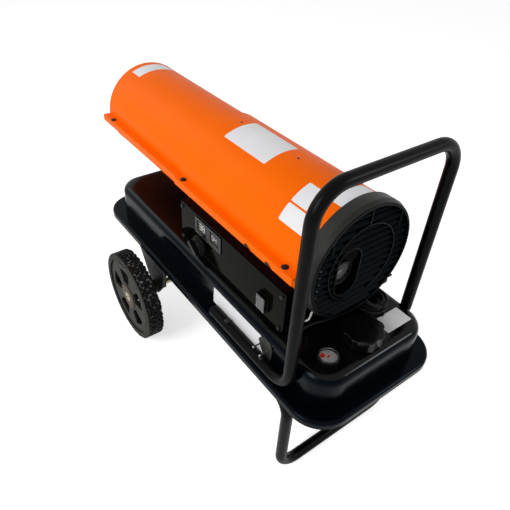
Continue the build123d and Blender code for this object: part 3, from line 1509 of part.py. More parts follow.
write("cord_gland", make_gland())
lead_bends = largest_bends(lead_route)
lead, lead_length, lead_share = tube_along(lead_route, lead_bends, cord_radius, cord_sides)
write("cord_lead", lead)
report_cord("lead", lead_length, lead_share, lead_bends)
coil, coil_length, coil_end = make_coil()
write("cord_coil", coil)
print(f"cord in all: {lead_length + coil_length:.0f} mm")
write("power_plug", make_power_plug(coil_end))
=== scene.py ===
import json
import math
import random

import bmesh
import bpy
from mathutils import Matrix, Vector


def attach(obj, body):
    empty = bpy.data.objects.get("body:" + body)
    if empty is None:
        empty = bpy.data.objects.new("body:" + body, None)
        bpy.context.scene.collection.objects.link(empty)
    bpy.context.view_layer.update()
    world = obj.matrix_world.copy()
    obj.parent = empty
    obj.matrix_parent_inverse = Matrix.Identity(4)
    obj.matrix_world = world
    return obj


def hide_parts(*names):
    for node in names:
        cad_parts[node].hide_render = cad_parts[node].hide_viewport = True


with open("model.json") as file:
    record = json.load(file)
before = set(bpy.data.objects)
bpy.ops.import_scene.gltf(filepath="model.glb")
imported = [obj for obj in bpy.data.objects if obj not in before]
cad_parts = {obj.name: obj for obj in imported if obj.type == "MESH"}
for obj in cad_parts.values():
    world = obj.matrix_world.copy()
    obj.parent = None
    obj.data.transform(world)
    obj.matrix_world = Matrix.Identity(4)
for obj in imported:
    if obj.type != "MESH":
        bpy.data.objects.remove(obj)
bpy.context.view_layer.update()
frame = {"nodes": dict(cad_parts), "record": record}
MM = 0.001


# Colours and materials

def srgb(r, g, b):
    """Linear colour of an 8-bit one."""
    def channel(v):
        v = v / 255
        return v / 12.92 if v <= 0.04045 else ((v + 0.055) / 1.055) ** 2.4
    return (channel(r), channel(g), channel(b), 1.0)


def shade(colour, factor):
    """A colour made lighter or darker."""
    return tuple(min(1.0, c * factor) for c in colour[:3]) + (1.0,)


class Nodes:
    """Small helper that adds nodes to one material and links them."""

    def __init__(self, name):
        self.material = bpy.data.materials.new(name)
        self.material.use_nodes = True
        self.tree = self.material.node_tree
        self.shader = self.tree.nodes["Principled BSDF"]
        self.coordinates = self.add("ShaderNodeTexCoord").outputs["Object"]

    def add(self, kind, **values):
        node = self.tree.nodes.new(kind)
        for key, value in values.items():
            setattr(node, key, value)
        return node

    def link(self, source, target):
        self.tree.links.new(source, target)

    def mapped(self, scale):
        """Object coordinates stretched along each axis."""
        node = self.add("ShaderNodeMapping")
        node.inputs["Scale"].default_value = scale
        self.link(self.coordinates, node.inputs["Vector"])
        return node.outputs["Vector"]

    def noise(self, scale, detail=3.0, rough=0.55, source=None):
        node = self.add("ShaderNodeTexNoise")
        node.inputs["Scale"].default_value = scale
        node.inputs["Detail"].default_value = detail
        node.inputs["Roughness"].default_value = rough
        self.link(source or self.coordinates, node.inputs["Vector"])
        return node.outputs["Fac"]

    def cells(self, scale, feature="F1", source=None):
        node = self.add("ShaderNodeTexVoronoi", feature=feature)
        node.inputs["Scale"].default_value = scale
        self.link(source or self.coordinates, node.inputs["Vector"])
        return node.outputs["Distance"]

    def spread(self, value, low, high, start=0.3, end=0.7):
        """A value stretched to run from low to high."""
        node = self.add("ShaderNodeMapRange")
        for key, number in (("From Min", start), ("From Max", end), ("To Min", low), ("To Max", high)):
            node.inputs[key].default_value = number
        self.link(value, node.inputs["Value"])
        return node.outputs["Result"]

    def blend(self, factor, first, second):
        """Mix of two colours; each may be a colour or a socket."""
        node = self.add("ShaderNodeMix", data_type="RGBA")
        self.link(factor, node.inputs["Factor"])
        for key, value in (("A", first), ("B", second)):
            socket = [s for s in node.inputs if s.name == key and s.type == "RGBA"][0]
            if isinstance(value, tuple):
                socket.default_value = value
            else:
                self.link(value, socket)
        return [s for s in node.outputs if s.type == "RGBA"][0]

    def bump(self, height, distance, strength=1.0, under=None):
        node = self.add("ShaderNodeBump")
        node.inputs["Strength"].default_value = strength
        node.inputs["Distance"].default_value = distance
        self.link(height, node.inputs["Height"])
        if under is not None:
            self.link(under, node.inputs["Normal"])
        return node.outputs["Normal"]

    def set(self, **values):
        for key, value in values.items():
            self.shader.inputs[key.replace("_", " ")].default_value = value


def coated(name, colour, rough, peel, shine=0.2, mottle=0.05, dust=0.0, sky=(1.0, 1.0, 1.0, 1.0)):
    """Painted sheet: faint cloudiness, orange peel and a little dust in the roughness."""
    n = Nodes(name)
    cloud = n.spread(n.noise(9.0, 4.0), 0.0, 1.0)
    n.link(n.blend(cloud, shade(colour, 1 - mottle), shade(colour, 1 + mottle)),
           n.shader.inputs["Base Color"])
    n.link(n.spread(n.noise(26.0, 5.0), rough, rough + dust + 0.04), n.shader.inputs["Roughness"])
    n.link(n.bump(n.noise(520.0, 2.0), peel), n.shader.inputs["Normal"])
    n.set(Specular_IOR_Level=shine, Specular_Tint=sky)
    return n.material


def moulded(name, colour, rough, grain, grain_scale=900.0, mottle=0.08, shine=0.2):
    """Moulded plastic or rubber with a fine grain."""
    n = Nodes(name)
    cloud = n.spread(n.noise(14.0, 4.0), 0.0, 1.0)
    n.link(n.blend(cloud, shade(colour, 1 - mottle), shade(colour, 1 + mottle)),
           n.shader.inputs["Base Color"])
    n.link(n.spread(n.noise(40.0, 4.0), rough - 0.05, rough + 0.07), n.shader.inputs["Roughness"])
    fine = n.bump(n.cells(grain_scale), grain)
    n.link(n.bump(n.noise(120.0, 3.0), grain * 2, 0.6, fine), n.shader.inputs["Normal"])
    n.set(Specular_IOR_Level=shine)
    return n.material


def metal(name, colour, rough, stretch=(1.0, 1.0, 1.0), scratch=0.00004, stain=0.15, scale=260.0):
    """Bare or plated metal with a brushed or cast finish."""
    n = Nodes(name)
    cloud = n.spread(n.noise(18.0, 5.0), 0.0, 1.0)
    n.link(n.blend(cloud, shade(colour, 1 - stain), shade(colour, 1 + stain / 2)),
           n.shader.inputs["Base Color"])
    lines = n.noise(scale, 3.0, 0.6, n.mapped(stretch))
    n.link(n.spread(lines, rough - 0.07, rough + 0.1), n.shader.inputs["Roughness"])
    n.link(n.bump(lines, scratch), n.shader.inputs["Normal"])
    n.set(Metallic=1.0)
    return n.material


def clear(name, colour, rough, transmission=1.0, ior=1.5):
    """Clear or smoked plastic or glass."""
    n = Nodes(name)
    n.link(n.spread(n.noise(30.0, 3.0), rough, rough + 0.04), n.shader.inputs["Roughness"])
    n.link(n.bump(n.noise(60.0, 2.0), 0.00002), n.shader.inputs["Normal"])
    tint = n.spread(n.noise(12.0, 3.0), 0.0, 1.0)
    n.link(n.blend(tint, shade(colour, 0.97), shade(colour, 1.03)), n.shader.inputs["Base Color"])
    n.set(Transmission_Weight=transmission, IOR=ior)
    return n.material


def lens(name, colour, cover):
    """Thin clear window that covers only a share of what lies behind it."""
    n = Nodes(name)
    tint = n.spread(n.noise(12.0, 3.0), 0.0, 1.0)
    n.link(n.blend(tint, shade(colour, 0.97), shade(colour, 1.03)), n.shader.inputs["Base Color"])
    n.link(n.spread(n.noise(30.0, 3.0), 0.03, 0.06), n.shader.inputs["Roughness"])
    n.set(Alpha=cover)
    return n.material


ORANGE = srgb(255, 106, 0)
LOOKS = {
    "orange_paint": coated("orange_paint", ORANGE, 0.36, 0.00003, 0.05, 0.03, 0.03),
    # Dark brown of painted shade, for the drum's inside, the pump behind the guard and the rim windows.
    "painted_shade_dark": coated("painted_shade_dark", srgb(16, 13, 12), 0.6, 0.00003, 0.05, 0.15, 0.05),
    # Black gloss whose bluish specular tint paints the blue sky's reflection.
    "black_gloss": coated("black_gloss", srgb(2, 5, 9), 0.12, 0.00002, 0.06, 0.15, 0.04,
                          (0.6, 0.78, 1.0, 1.0)),
    # The tank top's look: a lighter, shinier copy of black_gloss that paints the sky's sheen.
    "top_painted_sheen": coated("top_painted_sheen", srgb(5, 6, 7), 0.10, 0.00001, 0.13, 0.15, 0.04),
    "panel_gloss": coated("panel_gloss", srgb(4, 4, 1), 0.03, 0.000004, 0.02, 0.1, 0.02),
    "black_satin": coated("black_satin", srgb(5, 6, 6), 0.26, 0.00004, 0.06, 0.12, 0.06),
    "guard_black": coated("guard_black", srgb(2, 5, 8), 0.42, 0.00004, 0.06, 0.12, 0.06),
    # The guard skirt's look: a lighter grey that paints a highlight on the skirt.
    "skirt_painted_highlight": coated("skirt_painted_highlight", srgb(38, 38, 36), 0.4, 0.00004, 0.16, 0.12, 0.06),
    "bracket_grey": coated("bracket_grey", srgb(46, 50, 44), 0.4, 0.00004, 0.12, 0.12, 0.06),
    "strap_grey": coated("strap_grey", srgb(44, 46, 42), 0.35, 0.00004, 0.2, 0.15, 0.06),
    "stud_grey": coated("stud_grey", srgb(74, 62, 70), 0.3, 0.00004, 0.2, 0.15, 0.06),
    "black_screw": coated("black_screw", srgb(16, 15, 15), 0.35, 0.00003, 0.25, 0.2, 0.05),
    "hub_tan": coated("hub_tan", srgb(68, 59, 48), 0.45, 0.00005, 0.12, 0.15, 0.1),
    "plastic_black": moulded("plastic_black", srgb(8, 8, 8), 0.36, 0.00004, shine=0.10),
    "plastic_gloss": moulded("plastic_gloss", srgb(8, 8, 8), 0.16, 0.00001, shine=0.15),
    "rim_black": moulded("rim_black", srgb(31, 32, 28), 0.5, 0.00006, shine=0.08),
    "tyre": moulded("tyre", srgb(32, 33, 29), 0.6, 0.00008, 420.0, 0.1, 0.08),
    # The light tread band paints the specks of highlight on the tyre between its knobs.
    "tread_painted_highlight": moulded("tread_painted_highlight", srgb(116, 116, 114), 0.6, 0.0006, 260.0, 0.45, 0.12),
    "tread_dark": moulded("tread_dark", srgb(10, 10, 10), 0.6, 0.0003, 420.0, 0.35, 0.1),
    # The knob grip's end face: a lighter grey that paints the light falling on it.
    "grip_painted_light": moulded("grip_painted_light", srgb(46, 46, 44), 0.4, 0.00002, shine=0.2),
    "rubber": moulded("rubber", srgb(12, 12, 12), 0.42, 0.00004, shine=0.15),
    "ceramic": moulded("ceramic", srgb(228, 222, 205), 0.22, 0.00002),
    "board_green": moulded("board_green", srgb(25, 96, 48), 0.35, 0.00003),
    "gauge_dial": moulded("gauge_dial", srgb(172, 172, 170), 0.4, 0.00001),
    "gauge_black": moulded("gauge_black", srgb(26, 26, 27), 0.5, 0.00001),
    "needle_red": moulded("needle_red", srgb(205, 30, 18), 0.4, 0.00001),
    "grip_grey": moulded("grip_grey", srgb(186, 186, 184), 0.4, 0.00004),
    "sticker_white": moulded("sticker_white", srgb(232, 232, 234), 0.42, 0.00001, 900.0, 0.03),
    "digit_white": moulded("digit_white", srgb(222, 220, 212), 0.4, 0.00001),
    "line_grey": moulded("line_grey", srgb(120, 120, 120), 0.4, 0.00001),
    # Near-black for the screw slots: painted shade in their recesses.
    "recess_painted_shade": moulded("recess_painted_shade", srgb(5, 5, 5), 0.6, 0.00001),
    "dial_grey": moulded("dial_grey", srgb(150, 150, 148), 0.4, 0.00001),
    "dial_smoke": moulded("dial_smoke", srgb(84, 84, 82), 0.6, 0.00001, shine=0.0),
    "filter_felt": moulded("filter_felt", srgb(205, 202, 190), 0.9, 0.0002, 300.0),
    "zinc": metal("zinc", srgb(196, 194, 188), 0.32),
    "yellow_zinc": metal("yellow_zinc", srgb(152, 148, 118), 0.32),
    "washer_zinc": metal("washer_zinc", srgb(168, 160, 132), 0.3, (1.0, 1.0, 1.0), 0.0002, 0.5, 420.0),
    "steel": metal("steel", srgb(160, 160, 160), 0.38, (1.0, 12.0, 12.0)),
    "aluminium": metal("aluminium", srgb(190, 190, 192), 0.36, (1.0, 1.0, 1.0), 0.00005),
    "brass": metal("brass", srgb(205, 168, 92), 0.28),
    "glass": clear("glass", (0.98, 0.99, 0.99, 1.0), 0.02),
    "lens_film": lens("lens_film", srgb(120, 122, 124), 0.05),
    "smoked_clear": clear("smoked_clear", srgb(150, 152, 155), 0.06),
    "hose_clear": clear("hose_clear", srgb(246, 245, 240), 0.15, 0.25, 1.4),
}


def dress(thing, look):
    """Give an object one material."""
    thing.data.materials.clear()
    thing.data.materials.append(LOOKS[look])


slots = {part["node"]: part["material_slot"] for part in frame["record"]["subparts"]}
# The pump's cover and body behind the guard take the dark look of painted shade instead of their metal.
OTHER_LOOKS = {"fan_guard": "guard_black", "pressure_needle": "grip_grey", "pump_cover": "painted_shade_dark",
               "pump_body": "painted_shade_dark", "frame_fasteners": "black_screw", "control_panel": "panel_gloss",
               "chassis_box": "black_gloss", "far_cover": "black_gloss", "wheel_bracket": "bracket_grey",
               "pressure_lens": "lens_film", "fuel_cap": "plastic_gloss"}
for node, thing in frame["nodes"].items():
    dress(thing, OTHER_LOOKS.get(node, slots[node]))
    for polygon in thing.data.polygons:
        polygon.material_index = 0


# Second looks on some faces of the CAD solids, in metres

SHELL_AXIS_Z = 0.514
INWARD_SHARE = 0.3
TANK_TOP_BAND = 0.344
LEVEL_SHARE = 0.8
SKIRT_RADIUS = 0.12
SKIRT_SHARE = 0.9


def paint_shade_inside(thing):
    """The faces of a casing shell that look at its axis get a dark look: painted shade inside the drum."""
    thing.data.materials.append(LOOKS["painted_shade_dark"])
    for polygon in thing.data.polygons:
        away = Vector((0.0, polygon.center.y, polygon.center.z - SHELL_AXIS_Z))
        if polygon.normal.dot(away) < -INWARD_SHARE * away.length:
            polygon.material_index = 1


def paint_top_sheen(thing):
    """The level top of the tank gets a lighter, shinier copy of its black gloss: a painted sheen of the sky.
    """
    thing.data.materials.append(LOOKS["top_painted_sheen"])
    for polygon in thing.data.polygons:
        if polygon.normal.z > LEVEL_SHARE and polygon.center.z > TANK_TOP_BAND:
            polygon.material_index = 1


def paint_skirt_highlight(thing):
    """The guard's skirt gets a lighter grey than its grille: a painted highlight on its outer face."""
    thing.data.materials.append(LOOKS["skirt_painted_highlight"])
    for polygon in thing.data.polygons:
        away = Vector((0.0, polygon.center.y, polygon.center.z - SHELL_AXIS_Z))
        if away.length > SKIRT_RADIUS and polygon.normal.dot(away) > SKIRT_SHARE * away.length:
            polygon.material_index = 1


for node in ("upper_shell", "lower_shell"):
    paint_shade_inside(frame["nodes"][node])
paint_top_sheen(frame["nodes"]["tank_upper"])
paint_skirt_highlight(frame["nodes"]["fan_guard"])


# Pieces: new objects, each dressed in one look and attached to a body

SMOOTH_ANGLE = 35.0


def smooth(thing, angle=SMOOTH_ANGLE):
    """Shade smooth below an angle."""
    for polygon in thing.data.polygons:
        polygon.use_smooth = True
    thing.data.set_sharp_from_angle(angle=math.radians(angle))


def piece(name, mesh, look, body="heater"):
    """A new piece on a CAD body."""
    thing = bpy.data.objects.new(name, mesh)
    bpy.context.scene.collection.objects.link(thing)
    dress(thing, look)
    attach(thing, body)
    return thing


# Mesh building

MERGE_DISTANCE = 1e-7
BEVEL_SEGMENTS = 2


def axes_at(origin, outward, upward=(0.0, 0.0, 1.0)):
    """Placement in metres whose local Z points outward and local Y upward; local sizes are in mm."""
    z = Vector(outward).normalized()
    x = Vector(upward).cross(z)
    if x.length < 1e-6:
        x = Vector((1.0, 0.0, 0.0))
    x.normalize()
    turn = Matrix((x, z.cross(x), z)).transposed().to_4x4()
    return Matrix.Translation(Vector(origin) * MM) @ turn @ Matrix.Scale(MM, 4)


def lathe(bm, place, profile, segments=48, start=0.0, end=360.0):
    """Turned body about local Z from closed points of radius and height."""
    whole = abs(end - start) > 359.9
    count = segments if whole else segments + 1
    rings = []
    for i in range(count):
        turn = math.radians(start + (end - start) * i / segments)
        rings.append([bm.verts.new(place @ Vector((r * math.cos(turn), r * math.sin(turn), h)))
                      for r, h in profile])
    for i in range(segments):
        near = rings[i]
        far = rings[(i + 1) % count]
        for k in range(len(profile)):
            corners = [near[k], far[k], far[(k + 1) % len(profile)], near[(k + 1) % len(profile)]]
            bm.faces.new(corners)
    if not whole:
        bm.faces.new(rings[0])
        bm.faces.new(list(reversed(rings[-1])))


def plate(bm, place, outline, low, high):
    """Extruded outline in local XY between two heights."""
    bottom = [bm.verts.new(place @ Vector((x, y, low))) for x, y in outline]
    top = [bm.verts.new(place @ Vector((x, y, high))) for x, y in outline]
    bm.faces.new(list(reversed(bottom)))
    bm.faces.new(top)
    for i in range(len(outline)):
        k = (i + 1) % len(outline)
        bm.faces.new([bottom[i], bottom[k], top[k], top[i]])


def bar(bm, place, centre, size, height, turn=0.0, low=0.0):
    """Flat bar of a length and width about a local point, turned in its plane."""
    c, s = math.cos(math.radians(turn)), math.sin(math.radians(turn))
    half = [(-size[0] / 2, -size[1] / 2), (size[0] / 2, -size[1] / 2), (size[0] / 2, size[1] / 2),
            (-size[0] / 2, size[1] / 2)]
    outline = [(centre[0] + x * c - y * s, centre[1] + x * s + y * c) for x, y in half]
    plate(bm, place, outline, low, low + height)


def finished(bm, name, look, body="heater", angle=SMOOTH_ANGLE, bevel=0.0):
    """Turn built geometry into a piece."""
    bmesh.ops.remove_doubles(bm, verts=bm.verts, dist=MERGE_DISTANCE)
    bmesh.ops.dissolve_degenerate(bm, edges=bm.edges, dist=MERGE_DISTANCE)
    bmesh.ops.recalc_face_normals(bm, faces=bm.faces)
    mesh = bpy.data.meshes.new(name)
    bm.to_mesh(mesh)
    bm.free()
    thing = piece(name, mesh, look, body)
    if bevel:
        rounding = thing.modifiers.new("round", "BEVEL")
        rounding.width = bevel * MM
        rounding.segments = BEVEL_SEGMENTS
        rounding.limit_method = "ANGLE"
    smooth(thing, angle)
    return thing


def rounded_outline(width, height, corner, steps=5):
    """Closed outline of a rounded rectangle about the local origin."""
    points = []
    for sx, sy, start in ((1, 1, 0), (-1, 1, 90), (-1, -1, 180), (1, -1, 270)):
        for k in range(steps + 1):
            turn = math.radians(start + 90 * k / steps)
            points.append((sx * (width / 2 - corner) + corner * math.cos(turn),
                           sy * (height / 2 - corner) + corner * math.sin(turn)))
    return points


def ring_outline(radius, segments=40, start=0.0, end=360.0):
    """Points on a circle or an arc."""
    count = segments if end - start > 359.9 else segments + 1
    return [(radius * math.cos(math.radians(start + (end - start) * k / segments)),
             radius * math.sin(math.radians(start + (end - start) * k / segments))) for k in range(count)]


# Mains cord: one smooth spline for the lead and its coil

LEAD = ((321.0, -86.0, 360.0), (321.0, -64.0, 360.0), (325.0, -40.0, 353.2), (329.0, -14.0, 352.9),
        (320.0, 14.0, 352.9), (308.0, 48.0, 352.9), (308.0, 71.0, 352.9))
COIL_START = (308.0, 78.0, 352.9)
COIL_RADIUS = 30.5
COIL_STEP = 4.0
COIL_PITCH = 7.6
COIL_SHARE = (0, 1, 2, 3, 2, 1, 0, -1, 0, 1, 2, 3, 2, 1, 0)
COIL_CLIMB = (3, 7, 11)
COIL_POINTS = 8
PLUG_AT = (322.6, 85.0, 397.2)
CORD_DIAMETER = 7.0


def coil_points():
    """Points of the coil's spirals, a few for each half turn, in mm."""
    x, y, z = COIL_START
    fit = 0.75 + 0.25 * math.cos(math.pi / COIL_POINTS)
    turns = []
    heading = 1
    for i, share in enumerate(COIL_SHARE):
        turns.append((x, heading, COIL_RADIUS - share * COIL_STEP, z, COIL_PITCH if i in COIL_CLIMB else 0.0))
        x += heading * 2 * turns[-1][2]
        z += turns[-1][4]
        heading = -heading
    turns.append((x, heading, (x - PLUG_AT[0]) / 2, z, PLUG_AT[2] - z))
    points = []
    for start, heading, radius, low, rise in turns:
        centre = start + heading * radius
        for k in range(COIL_POINTS):
            turn = math.pi * (k + 0.5) / COIL_POINTS
            reach = radius / fit
            points.append((centre - heading * reach * math.cos(turn), y + heading * reach * math.sin(turn),
                           low + rise * (1 - math.cos(turn)) / 2))
    return points


def make_cord():
    """One spline from the gland through the coil to the plug."""
    route = list(LEAD) + coil_points() + [(PLUG_AT[0], PLUG_AT[1] - 3.5, PLUG_AT[2]), PLUG_AT]
    curve = bpy.data.curves.new("mains_cord", "CURVE")
    curve.dimensions = "3D"
    curve.bevel_depth = CORD_DIAMETER / 2 * MM
    curve.bevel_resolution = 4
    curve.resolution_u = 6
    curve.use_fill_caps = True
    spline = curve.splines.new("NURBS")
    spline.points.add(len(route) - 1)
    for point, place in zip(spline.points, route):
        point.co = (*(v * MM for v in place), 1.0)
    spline.order_u = 3
    spline.use_endpoint_u = True
    cord = bpy.data.objects.new("mains_cord", curve)
    bpy.context.scene.collection.objects.link(cord)
    dress(cord, "rubber")
    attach(cord, "heater")
    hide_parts("cord_lead", "cord_coil")
    return cord


cord = make_cord()


# Casing: hem at the mouth, rivets on top and blank stickers where the product carries labels

AXIS_Z = 514.0
MOUTH_X = -483.0
FRONT_RADIUS = 117.6
REAR_RADIUS = 122.1
HEM_RADIUS = 1.3
RIVET_XS = (-34.2, 156.1)
RIVET_RADIUS = 2.6
STICKER_CORNER = 3.0
STICKER_THICKNESS = 0.16
STICKER_COLUMNS = 28
CASING_STICKERS = {
    "sticker_top": (-19.0, 121.0, -14.5, 27.0, REAR_RADIUS),
    "sticker_side_upper": (231.0, 299.0, 16.5, 39.5, REAR_RADIUS),
    "sticker_side_lower": (231.0, 299.0, 41.5, 58.5, REAR_RADIUS),
    "sticker_guard": (287.0, 319.5, -24.5, 19.7, REAR_RADIUS),
    "sticker_mouth": (-464.0, -421.0, -24.0, 25.0, FRONT_RADIUS),
}


def casing_point(x, turn, radius):
    """Point on the casing; the turn goes from the top towards the panel side."""
    a = math.radians(turn)
    return Vector((x, -radius * math.sin(a), AXIS_Z + radius * math.cos(a))) * MM


def make_casing_sticker(name, x0, x1, turn0, turn1, radius):
    """Blank sticker laid round the casing, with rounded corners."""
    bm = bmesh.new()
    columns = STICKER_COLUMNS
    arc = math.radians(turn1 - turn0) * radius
    rows = []
    for i in range(columns + 1):
        share = 0.5 - 0.5 * math.cos(math.pi * i / columns)
        edge = min(share, 1 - share) * arc
        cut = STICKER_CORNER - math.sqrt(max(0.0, STICKER_CORNER ** 2 - max(0.0, STICKER_CORNER - edge) ** 2))
        turn = turn0 + (turn1 - turn0) * share
        rows.append([bm.verts.new(casing_point(x, turn, r)) for x, r in (
            (x0 + cut, radius), (x0 + cut, radius + STICKER_THICKNESS),
            (x1 - cut, radius + STICKER_THICKNESS), (x1 - cut, radius))])
    for near, far in zip(rows, rows[1:]):
        for k in range(4):
            bm.faces.new([near[k], near[(k + 1) % 4], far[(k + 1) % 4], far[k]])
    bm.faces.new(rows[0])
    bm.faces.new(list(reversed(rows[-1])))
    finished(bm, name, "sticker_white")


def make_casing_details():
    """Rolled hem, rivets and stickers of the casing."""
    bm = bmesh.new()
    lathe(bm, axes_at((MOUTH_X + HEM_RADIUS, 0, AXIS_Z), (1, 0, 0)),
          [(FRONT_RADIUS - HEM_RADIUS / 2 + r, h) for r, h in ring_outline(HEM_RADIUS, 10)], 96)
    finished(bm, "mouth_hem", "orange_paint")
    bm = bmesh.new()
    for x in RIVET_XS:
        place = axes_at((x, 0, AXIS_Z + REAR_RADIUS), (0, 0, 1), (0, 1, 0))
        lathe(bm, place, [(0, -0.5), (RIVET_RADIUS, -0.5), (RIVET_RADIUS, 0.4), (RIVET_RADIUS * 0.7, 1.1),
                          (0, 1.4)], 20)
    finished(bm, "casing_rivets", "black_screw")
    for name, values in CASING_STICKERS.items():
        make_casing_sticker(name, *values)


# Blank stickers on the tank

TANK_TOP_Z = 349.0
TANK_SIDE_Y = -152.9
TANK_DRAFT = 1.4
TOP_STICKER_AT = (400.0, 89.0)
TOP_STICKER_SIZE = (42.0, 72.0)
SIDE_STICKER_AT = (196.0, 306.0)
SIDE_STICKER_SIZE = (208.0, 43.0)


def make_flat_sticker(name, centre, outward, upward, width, height):
    """Blank sticker with rounded corners on a flat face."""
    bm = bmesh.new()
    outline = rounded_outline(width, height, STICKER_CORNER)
    plate(bm, axes_at(centre, outward, upward), outline, -0.05, STICKER_THICKNESS)
    finished(bm, name, "sticker_white")


def make_tank_stickers():
    """One sticker on the tank's top and one on its drafted side."""
    x, y = TOP_STICKER_AT
    make_flat_sticker("sticker_tank_top", (x, y, TANK_TOP_Z), (0, 0, 1), (0, 1, 0), *TOP_STICKER_SIZE)
    draft = math.radians(TANK_DRAFT)
    x, z = SIDE_STICKER_AT
    make_flat_sticker("sticker_tank_side", (x, TANK_SIDE_Y, z), (0, -math.cos(draft), math.sin(draft)),
                      (0, 0, 1), *SIDE_STICKER_SIZE)


# Display digits, the light line round the display, knob and switch marks

PANEL_Y = -134.0
DISPLAY_FACE_Y = -136.0
DISPLAY_FLOOR_Y = -134.8
DISPLAY_MIDDLE = (40.5, 433.5)
DISPLAY_LINE_SIZE = (99.0, 39.0)
DIGIT_HEIGHT = 15.0
DIGIT_WIDTH = 8.5
DIGIT_STROKE = 1.7
DIGIT_Z = 436.7
DIGIT_XS = {9.6: "3", 22.0: "8", 60.0: "0", 70.5: "4"}
SMALL_DIGIT_SHARE = 0.72
SEGMENTS = {"0": "abcdef", "3": "abcdg", "4": "bcfg", "8": "abcdefg"}


def make_digits():
    """Plain digits of seven bars on the display."""
    bm = bmesh.new()
    for x, digit in DIGIT_XS.items():
        share = SMALL_DIGIT_SHARE if x > DISPLAY_MIDDLE[0] else 1.0
        half = DIGIT_HEIGHT / 2 * share
        reach = DIGIT_WIDTH / 2 * share
        flat = (2 * reach - DIGIT_STROKE, DIGIT_STROKE * share)
        upright = (DIGIT_STROKE * share, half - DIGIT_STROKE / 2)
        bars = {"a": ((0, half), flat), "g": ((0, 0), flat), "d": ((0, -half), flat),
                "b": ((reach, half / 2), upright), "c": ((reach, -half / 2), upright),
                "e": ((-reach, -half / 2), upright), "f": ((-reach, half / 2), upright)}
        place = axes_at((x, DISPLAY_FLOOR_Y, DIGIT_Z), (0, -1, 0))
        for key in SEGMENTS[digit]:
            centre, size = bars[key]
            bar(bm, place, centre, size, 0.25)
    finished(bm, "display_digits", "digit_white")


def make_display_line():
    """Thin light frame round the display."""
    bm = bmesh.new()
    place = axes_at((DISPLAY_MIDDLE[0], DISPLAY_FACE_Y, DISPLAY_MIDDLE[1]), (0, -1, 0))
    width, height = DISPLAY_LINE_SIZE
    for centre, size in (((0, height / 2), (width, 0.5)), ((0, -height / 2), (width, 0.5)),
                         ((width / 2, 0), (0.5, height)), ((-width / 2, 0), (0.5, height))):
        bar(bm, place, centre, size, 0.06)
    finished(bm, "display_line", "line_grey")


KNOB_AT = (5.0, 382.0)
KNOB_BASE_Y = -134.6
KNOB_SKIRT_RADII = (25.0, 23.2)
KNOB_BODY_RADII = (21.5, 19.4)
KNOB_SKIRT_HEIGHT = 5.5
KNOB_TOP_HEIGHT = 13.5
KNOB_GRIP_HEIGHT = 22.5
KNOB_GRIP_SIZE = (39.0, 11.0, 4.0)
KNOB_GRIP_TURN = 32.0
KNOB_RIBS = 30


def turned_outline(outline, turn):
    """Outline turned about the local origin."""
    c, s = math.cos(math.radians(turn)), math.sin(math.radians(turn))
    return [(x * c - y * s, x * s + y * c) for x, y in outline]


def make_knob():
    """Knob with its ribs and a bar grip; the grip's end face is a thin cap in a lighter grey that paints the
    light falling on it.
    """
    place = axes_at((KNOB_AT[0], KNOB_BASE_Y, KNOB_AT[1]), (0, -1, 0))
    skirt, body = KNOB_SKIRT_RADII, KNOB_BODY_RADII
    bm = bmesh.new()
    lathe(bm, place, [(3.0, 0), (skirt[0], 0), (skirt[0], 1.6), (skirt[1], KNOB_SKIRT_HEIGHT),
                      (body[0], KNOB_SKIRT_HEIGHT), (body[1], KNOB_TOP_HEIGHT - 1),
                      (body[1] - 1, KNOB_TOP_HEIGHT), (3.0, KNOB_TOP_HEIGHT)], 60)
    outline = turned_outline(rounded_outline(*KNOB_GRIP_SIZE), -KNOB_GRIP_TURN)
    plate(bm, place, outline, KNOB_TOP_HEIGHT - 0.5, KNOB_GRIP_HEIGHT)
    for i in range(KNOB_RIBS):
        rib = turned_outline([(21.1, -0.55), (21.9, -0.35), (21.9, 0.35), (21.1, 0.55)], 360 * i / KNOB_RIBS)
        low = [bm.verts.new(place @ Vector((x, y, KNOB_SKIRT_HEIGHT))) for x, y in rib]
        high = [bm.verts.new(place @ Vector((x * 0.905, y * 0.905, KNOB_TOP_HEIGHT - 1.2))) for x, y in rib]
        bm.faces.new(list(reversed(low)))
        bm.faces.new(high)
        for k in range(4):
            bm.faces.new([low[k], low[(k + 1) % 4], high[(k + 1) % 4], high[k]])
    knob = finished(bm, "dial_knob", "plastic_black", "knob", bevel=0.3)
    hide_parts("thermostat_knob")
    bm = bmesh.new()
    width, height, corner = KNOB_GRIP_SIZE
    face = turned_outline(rounded_outline(width - 1.2, height - 1.2, corner - 0.6), -KNOB_GRIP_TURN)
    plate(bm, place, face, KNOB_GRIP_HEIGHT - 0.1, KNOB_GRIP_HEIGHT + 0.3)
    finished(bm, "knob_grip_painted_light", "grip_painted_light", "knob")


ROCKER_AT = (247.0, -132.0, 399.0)
ROCKER_FRONT = 7.0
ROCKER_TILT = 7.0


def make_rocker_marks():
    """The plain I and O of the power switch, one on each half of the rocker."""
    bm = bmesh.new()
    tilt = math.radians(ROCKER_TILT)
    dish = math.atan2(2.0, 15.0)
    for side in (1, -1):
        lean = tilt - side * dish
        out = Vector((0, -math.cos(lean), -math.sin(lean)))
        middle = Vector((0, -ROCKER_FRONT + 1.0, side * 7.5))
        turned = Vector((0, middle.y * math.cos(tilt) - middle.z * math.sin(tilt),
                         middle.y * math.sin(tilt) + middle.z * math.cos(tilt)))
        place = axes_at(Vector(ROCKER_AT) + turned, out)
        if side > 0:
            bar(bm, place, (0, 0), (1.0, 6.0), 0.1, 0.0, -0.02)
        else:
            lathe(bm, place, [(2.2, -0.02), (3.1, -0.02), (3.1, 0.1), (2.2, 0.1)], 28)
    finished(bm, "rocker_marks", "digit_white", "rocker")


# Cross recesses on the small screws, drawn as dark bars of painted shade

